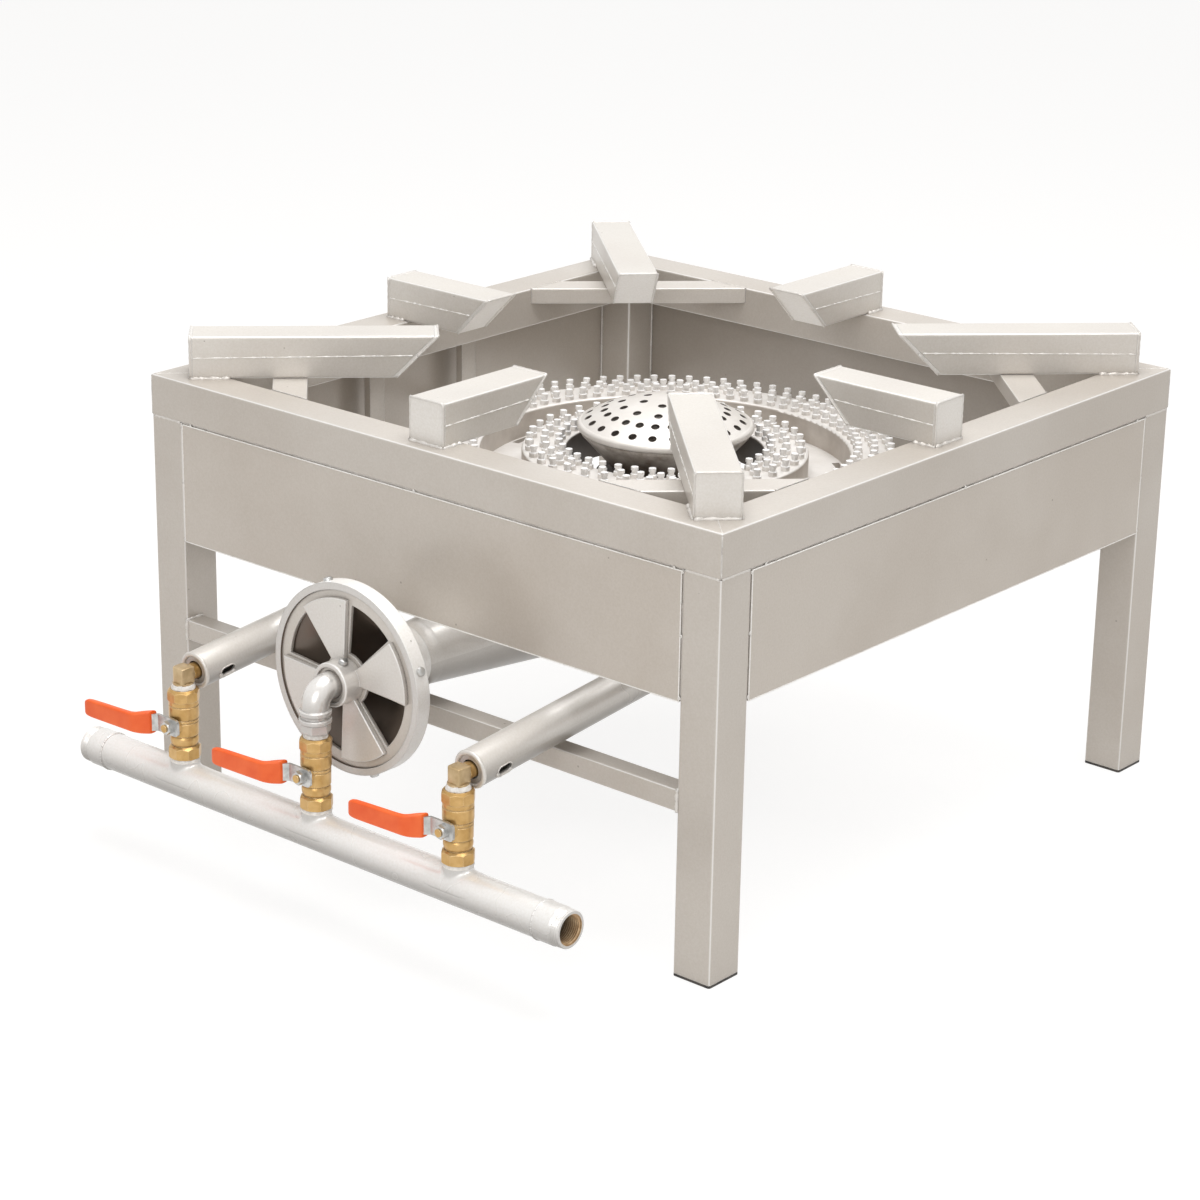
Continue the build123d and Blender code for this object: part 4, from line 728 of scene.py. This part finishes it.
stub = turned("branch_stub", STUB_OUTLINE, 64)
stub.rotation_euler = (0, pi / 2, 0)
stub.location = (0, 0, TRAIN.z)
bpy.ops.object.transform_apply()
edit_all()
bpy.ops.mesh.bisect(plane_co=(0, 0, SADDLE_LEVEL), plane_no=(0, 0, 1), use_fill=True, clear_inner=True)
bpy.ops.object.mode_set(mode="OBJECT")
carve(stub, turned("branch_riser", [(RISER_RADIUS, level) for level in RISER], 48), "UNION")
modified(stub, "REMESH", voxel_size=STUB_GRAIN)
modified(stub, "SMOOTH", iterations=STUB_SMEARS)
bpy.ops.object.shade_smooth()
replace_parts(set_out(stub, "branch_stubs", branch_places, pipe_paint, "stove"), "manifold_sockets")
ring_runs = []
for x in (pipe_low.x, pipe_high.x):
    hoop = []
    for index in range(WELD_STEPS + 1):
        angle = 2 * pi * index / WELD_STEPS
        hoop.append(Vector((x, TRAIN.y + PIPE_RADIUS * sin(angle), TRAIN.z + PIPE_RADIUS * cos(angle))))
    ring_runs += list(zip(hoop, hoop[1:]))
weld("manifold_welds", ring_runs, 0.0015, 0.85, 1.15, pipe_paint)

# The valve bodies: hot-pressed brass ball valves with turned grooves, an octagon at each end and a stem boss.
# The octagon ends are chamfered on a lathe, which scallops their flats; the edges get a pale painted highlight and the
# creases a painted shade.
VALVE_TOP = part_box("valve_bodies")[1].z
VALVE_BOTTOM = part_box("valve_end_pieces")[0].z
STEM_LEVEL = branches["middle"].z
OCTAGON = (8, 0.034, radians(15))    # sides, across flats, turn
TOP_OCTAGON = 0.0145
END_OCTAGON = 0.0147
BARREL_OUTLINE = ((0.0138, 0.1495), (0.0150, 0.1505), (0.0159, 0.1530), (0.0161, 0.1565), (0.0153, 0.1597),
                  (0.0145, 0.1607), (0.0145, 0.1612), (0.0162, 0.1620), (0.0164, 0.1762), (0.0157, 0.1768),
                  (0.0157, 0.1774), (0.0164, 0.1780), (0.0164, 0.1800), (0.0157, 0.1806), (0.0157, 0.1812),
                  (0.0168, 0.1820), (0.0170, 0.1836), (0.0170, 0.1956), (0.0163, 0.1962), (0.0163, 0.1968),
                  (0.0169, 0.1974), (0.0169, 0.2060))    # radius, height above the floor
BOSS_OUTLINE = ((0.0112, 0.0100), (0.0104, 0.0142), (0.0092, 0.0160), (0.0088, 0.0178), (0.0082, 0.0184))
NECK_RADIUS = 0.0140
NECK = (VALVE_BOTTOM + 0.010, VALVE_BOTTOM + 0.0165)    # lower and upper end
FACET_ANGLE = radians(28)    # flatter edges are shaded smooth


def chamfered(name, shape, bottom, height, lower, upper):
    """Many-sided prism, its corners turned down; each face has the radius left on it and the depth of the cut."""
    sides, flats, turn = shape
    corner = flats / 2 / cos(pi / sides)
    fresh()
    bpy.ops.mesh.primitive_cylinder_add(vertices=sides, radius=corner, depth=height, rotation=(0, 0, turn),
                                        location=(0, 0, bottom + height / 2))
    piece = bpy.context.object
    piece.name = name
    bpy.ops.object.transform_apply()
    lathe = turned("lathe_envelope", ((lower[0], bottom - 0.0001), (corner + 0.0003, bottom + lower[1]),
                                      (corner + 0.0003, bottom + height - upper[1]),
                                      (upper[0], bottom + height + 0.0001)), 64)
    carve(piece, lathe, "INTERSECT")
    return piece


brass = mottled("hot_pressed_brass", {"Scale": per(14), "Detail": 4.0, "Roughness": 0.6},
                [(0.3, "#BA9254"), (0.7, "#D5B076")], 0.7, 0.3)
tree = brass.node_tree
# Painted shade: darker brown in the creases.
crease_shade = add_node(tree, "AmbientOcclusion", {"Distance": 0.003}, samples=4)
overlay(tree, "#6B5330", crease_shade.outputs["AO"], (0.35, 0.9), (0.75, 0.0))
# Painted highlight: pale gold on the edges.
rounded, agreed = rounding(tree, add_node(tree, "NewGeometry").outputs["Normal"], 0.0009)
overlay(tree, "#F6E4BC", agreed, (0.8, 0.98), (0.85, 0.0))
grained(brass, 1.7, 2.0, 0.1, 0.0004, rounded)
body = turned("valve_barrel", BARREL_OUTLINE, 56)
carve(body, chamfered("top_octagon", OCTAGON, VALVE_TOP - TOP_OCTAGON, TOP_OCTAGON, (0.0166, 0.0022), (0.0150, 0.0042)),
      "UNION")
boss = turned("stem_boss", BOSS_OUTLINE, 32)
boss.rotation_euler = (pi / 2, 0, 0)
boss.location = (0, 0, STEM_LEVEL)
bpy.ops.object.transform_apply()
carve(body, boss, "UNION")
bpy.ops.object.shade_smooth_by_angle(angle=FACET_ANGLE)
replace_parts(set_out(body, "turned_valve_bodies", branch_places, brass, "stove"), "valve_bodies")
end_piece = chamfered("valve_end", OCTAGON, VALVE_BOTTOM, END_OCTAGON, (0.0172, 0.0010), (0.0148, 0.0034))
carve(end_piece, turned("valve_neck", [(NECK_RADIUS, level) for level in NECK], 48), "UNION")
bpy.ops.object.shade_smooth_by_angle(angle=FACET_ANGLE)
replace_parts(set_out(end_piece, "turned_valve_ends", branch_places, brass, "stove"), "valve_end_pieces")
dress(brass, "left_ball_and_stem", "middle_ball_and_stem", "right_ball_and_stem")

# The thread tape and the ball seats: white fluoropolymer.
# The tape is wound round each pipe thread and squeezed out in a ragged white collar above and below a valve.
UPPER_TAPE = ((0.0120, -0.0010), (0.0138, 0.0), (0.0136, 0.0014), (0.0128, 0.0030), (0.0121, 0.0046), (0.0112, 0.0060))
LOWER_TAPE = ((0.0158, -0.0052), (0.0168, -0.0044), (0.0174, -0.0028), (0.0170, -0.0012), (0.0158, 0.0004))
TAPES = (("upper_tape", UPPER_TAPE, VALVE_TOP, 4), ("lower_tape", LOWER_TAPE, VALVE_BOTTOM, 9))    # level, seed
white_polymer = mottled("white_fluoropolymer", {"Scale": per(4), "Detail": 3.0},
                        [(0.3, "#DEDAD4"), (0.65, "#F6F4F1")], 0.0, 0.55)
dress(white_polymer, "valve_seats")
for name, outline, level, seed in TAPES:
    collar = turned(name, [(radius, level + rise) for radius, rise in outline], 28)
    jitter(0.0005, seed)
    set_out(collar, name + "_collars", branch_places, white_polymer, "stove")

# The side elbows: square-bodied brass elbows screwed into the outer valves, with the injectors in their outlets.
# Forged and left dull, one upright edge well rounded where the bore turns; the injectors are turned brass.
BLOCK_BOTTOM = BLOCK_TOP - BLOCK_SIDE
BEND_RADIUS = 0.006
EDGE_RADIUS = 0.0012
SHANK_RADIUS = 0.0118
SHANK = (VALVE_TOP - 0.008, BLOCK_BOTTOM + 0.001)    # lower and upper end


def pick_edges(piece, wanted):
    """Edit mode with only those edges of a piece selected whose two ends pass a test."""
    bpy.ops.object.mode_set(mode="EDIT")
    bpy.ops.mesh.select_mode(type="EDGE")
    bpy.ops.mesh.select_all(action="DESELECT")
    bpy.ops.object.mode_set(mode="OBJECT")
    points = piece.data.vertices
    for edge in piece.data.edges:
        edge.select = wanted(points[edge.vertices[0]].co, points[edge.vertices[1]].co)
    bpy.ops.object.mode_set(mode="EDIT")


dull_brass = mottled("dull_forged_brass", {"Scale": per(12), "Detail": 4.0}, [(0.3, "#B39970"), (0.7, "#D3BB94")],
                     0.6, 0.32)
fresh()
bpy.ops.mesh.primitive_cube_add(size=BLOCK_SIDE, location=(0, 0, BLOCK_BOTTOM + BLOCK_SIDE / 2))
block = bpy.context.object
bpy.ops.object.transform_apply()
pick_edges(block, lambda a, b: a.x < 0 and b.x < 0 and a.y < 0 and b.y < 0)
bpy.ops.mesh.bevel(offset=BEND_RADIUS, segments=6, affect="EDGES")
bpy.ops.object.mode_set(mode="OBJECT")
pick_edges(block, lambda a, b: abs(a.z - b.z) < 0.0001 or (a.x > 0 and b.x > 0) or (a.y > 0 and b.y > 0))
bpy.ops.mesh.bevel(offset=EDGE_RADIUS, segments=3, affect="EDGES")
bpy.ops.object.mode_set(mode="OBJECT")
bpy.ops.object.shade_smooth_by_angle(angle=radians(35))
carve(block, turned("elbow_shank", [(SHANK_RADIUS, level) for level in SHANK], 24), "UNION")
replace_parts(set_out(block, "forged_elbows", branch_places[::2], dull_brass, "stove"), "brass_elbows")
dress(brass, "injectors")

# The middle feed: a hexagon bushing and a banded street elbow that carries the centre injector into the spigot.
# Malleable iron, sprayed thick and bright, so it is the whitest piece of the train.
# Painted shade: the elbow and bushing are painted darker underneath.
elbow_paint = silver_paint("silver_paint_on_malleable_iron", "#ECEAE8", "#E4E1DE", 0.45, 0.27, underside_shade=0.55)
dress(elbow_paint, "centre_elbow", "centre_bushing")

# The valve levers: strip of pressed steel with a step, zinc plated like the screws.
# Each is held on its stem by a hexagon nut, chamfered on its outer face.
NUT = (6, 0.0138, 0.25)    # sides, across flats, turn
NUT_HEIGHT = 0.0076
dress(zinc, "left_lever", "middle_lever", "right_lever")
nut = chamfered("hexagon_nut", NUT, 0.0, NUT_HEIGHT, (0.0074, 0.0006), (0.0064, 0.0016))
bpy.ops.object.shade_smooth_by_angle(angle=FACET_ANGLE)
for side, middle in branches.items():
    seat = Matrix.Translation((middle.x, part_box(side + "_lever_nut")[1].y, middle.z))
    side_nut = set_out(nut, side + "_hexagon_nut", [seat @ Matrix.Rotation(pi / 2, 4, "X")], zinc,
                       side + "_valve_handle", True)
    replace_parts(side_nut, side + "_lever_nut")
bpy.data.objects.remove(nut)

# The grips: sleeves of orange vinyl dipped over the levers, so every edge is rounded and the step is a soft bend.
# Soft and even, with a faint dimple and a little grime in its grain.
GRIP_SECTIONS = (    # from the stem, out in front of the valve axis, thickness, height
    (0.0236, 0.0241, 0.0114, 0.0266), (0.0246, 0.0251, 0.0118, 0.0272), (0.0310, 0.0315, 0.0116, 0.0266),
    (0.0350, 0.0352, 0.0112, 0.0252), (0.0385, 0.0380, 0.0100, 0.0238), (0.0425, 0.0398, 0.0088, 0.0228),
    (0.0480, 0.0405, 0.0082, 0.0222), (0.0750, 0.0418, 0.0082, 0.0216), (0.1020, 0.0432, 0.0082, 0.0210),
    (0.1090, 0.0436, 0.0080, 0.0202), (0.1130, 0.0438, 0.0072, 0.0182), (0.1148, 0.0439, 0.0052, 0.0146),
    (0.1156, 0.0439, 0.0030, 0.0096))
GRIP_CORNER = 0.0036
vinyl = mottled("dipped_orange_vinyl", {"Scale": per(26), "Detail": 4.0}, [(0.3, "#EE5A1A"), (0.7, "#FA7032")],
                0.0, 0.42)
grained(vinyl, 1.5, 1.0, 0.08, 0.0004)
(reach, out, thick, tall), *rest = GRIP_SECTIONS
fresh()
bpy.ops.mesh.primitive_plane_add(size=1, rotation=(0, pi / 2, 0), location=(-reach, -out, STEM_LEVEL))
grip = bpy.context.object
grip.scale = (tall, thick, 1)
bpy.ops.object.transform_apply()
edit_all()
bpy.ops.mesh.bevel(offset=GRIP_CORNER, segments=4, affect="VERTICES")
bpy.ops.mesh.select_all(action="SELECT")
for next_reach, next_out, next_thick, next_tall in rest:
    bpy.ops.mesh.extrude_region_move(TRANSFORM_OT_translate={"value": (reach - next_reach, out - next_out, 0)})
    bpy.ops.transform.resize(value=(1, next_thick / thick, next_tall / tall),
                             center_override=(-next_reach, -next_out, STEM_LEVEL))
    reach, out, thick, tall = next_reach, next_out, next_thick, next_tall
close_up()
modified(grip, "SUBSURF", levels=2, render_levels=2)
bpy.ops.object.shade_smooth()
for side, place in zip(branches, branch_places):
    sleeve = set_out(grip, side + "_dipped_grip", [place], vinyl, side + "_valve_handle", True)
    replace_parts(sleeve, side + "_grip")
bpy.data.objects.remove(grip)

# The studio: a floor of pale paper that keeps a soft shadow, and a white surround.
# One wide soft box hangs above and a smaller one stands in front.
FLOOR_SIZE = 60.0
FLOOR_LEVEL = -0.0005
FLOOR_GLOW = 0.72    # share of white light in the floor where it is looked at


def looked_at(tree):
    """Rays that see the background itself: from the camera, in a gloss or through glass."""
    rays = add_node(tree, "LightPath")
    seen = rays.outputs["Is Camera Ray"]
    for other in ("Is Glossy Ray", "Is Transmission Ray"):
        seen = add_node(tree, "Math", {0: seen, 1: rays.outputs[other]}, operation="MAXIMUM").outputs[0]
    return seen


fresh()
bpy.ops.mesh.primitive_plane_add(size=FLOOR_SIZE, location=(0, 0, FLOOR_LEVEL))
floor = bpy.context.object
floor.name = "studio_floor"
floor_paper = bpy.data.materials.new("pale_studio_paper")
floor_paper.use_nodes = True
tree = floor_paper.node_tree
surface = tree.nodes["Principled BSDF"]
surface.inputs["Base Color"].default_value = linear("#EFEDEA")
surface.inputs["Roughness"].default_value = 0.9
share = add_node(tree, "Math", {0: looked_at(tree), 1: FLOOR_GLOW}, operation="MULTIPLY")
glow = add_node(tree, "Emission", {"Color": (1, 1, 1, 1), "Strength": 1.16})
mixed = add_node(tree, "MixShader", {0: share.outputs[0], 1: surface.outputs[0], 2: glow.outputs[0]})
tree.links.new(mixed.outputs[0], tree.nodes["Material Output"].inputs["Surface"])
floor.data.materials.append(floor_paper)
surround = bpy.data.worlds.new("studio_surround")
bpy.context.scene.world = surround
surround.use_nodes = True
tree = surround.node_tree
soft_sky = tree.nodes["Background"]
soft_sky.inputs["Color"].default_value = linear("#FFFBF6")
soft_sky.inputs["Strength"].default_value = 0.4
white = add_node(tree, "Background", {"Color": (1, 1, 1, 1), "Strength": 1.0})
mixed = add_node(tree, "MixShader", {0: looked_at(tree), 1: soft_sky.outputs[0], 2: white.outputs[0]})
tree.links.new(mixed.outputs[0], tree.nodes["World Output"].inputs["Surface"])


def soft_light(name, stand, aim, size, power):
    """A square soft box turned towards a point."""
    fresh()
    bpy.ops.object.light_add(type="AREA", location=stand)
    lamp = bpy.context.object
    lamp.name = name
    lamp.data.size = size
    lamp.data.energy = power
    lamp.rotation_euler = (Vector(aim) - Vector(stand)).to_track_quat("-Z", "Y").to_euler()


soft_light("overhead_soft_box", (0.2, 0.2, 3.2), (0, 0.1, 0.3), 2.6, 90)
soft_light("front_soft_box", (1.5, -3.1, 1.9), (0, 0, 0.3), 1.8, 31)

# The camera: it stands where the photograph was taken from, a little above the stove and to its right.
# Its place is measured from the middle of the stand, on the floor.
CAMERA_PLACE = Vector((2.31072, MIDDLE.y - 2.82065, 1.52615))
RIGHT = Vector((0.7567904, 0.6534717, 0.0155905))
DOWN = Vector((0.2318873, -0.2460977, -0.9410973))
FORWARD = Vector((-0.6111436, 0.7158287, -0.3377762))
camera_data = bpy.data.cameras.new("photo_camera")
camera_data.lens = 96.53
camera_data.sensor_width = 36.0
camera = bpy.data.objects.new("photo_camera", camera_data)
bpy.context.scene.collection.objects.link(camera)
camera.matrix_world = Matrix.Translation(CAMERA_PLACE) @ Matrix((RIGHT, -DOWN, -FORWARD)).transposed().to_4x4()
bpy.context.scene.camera = camera
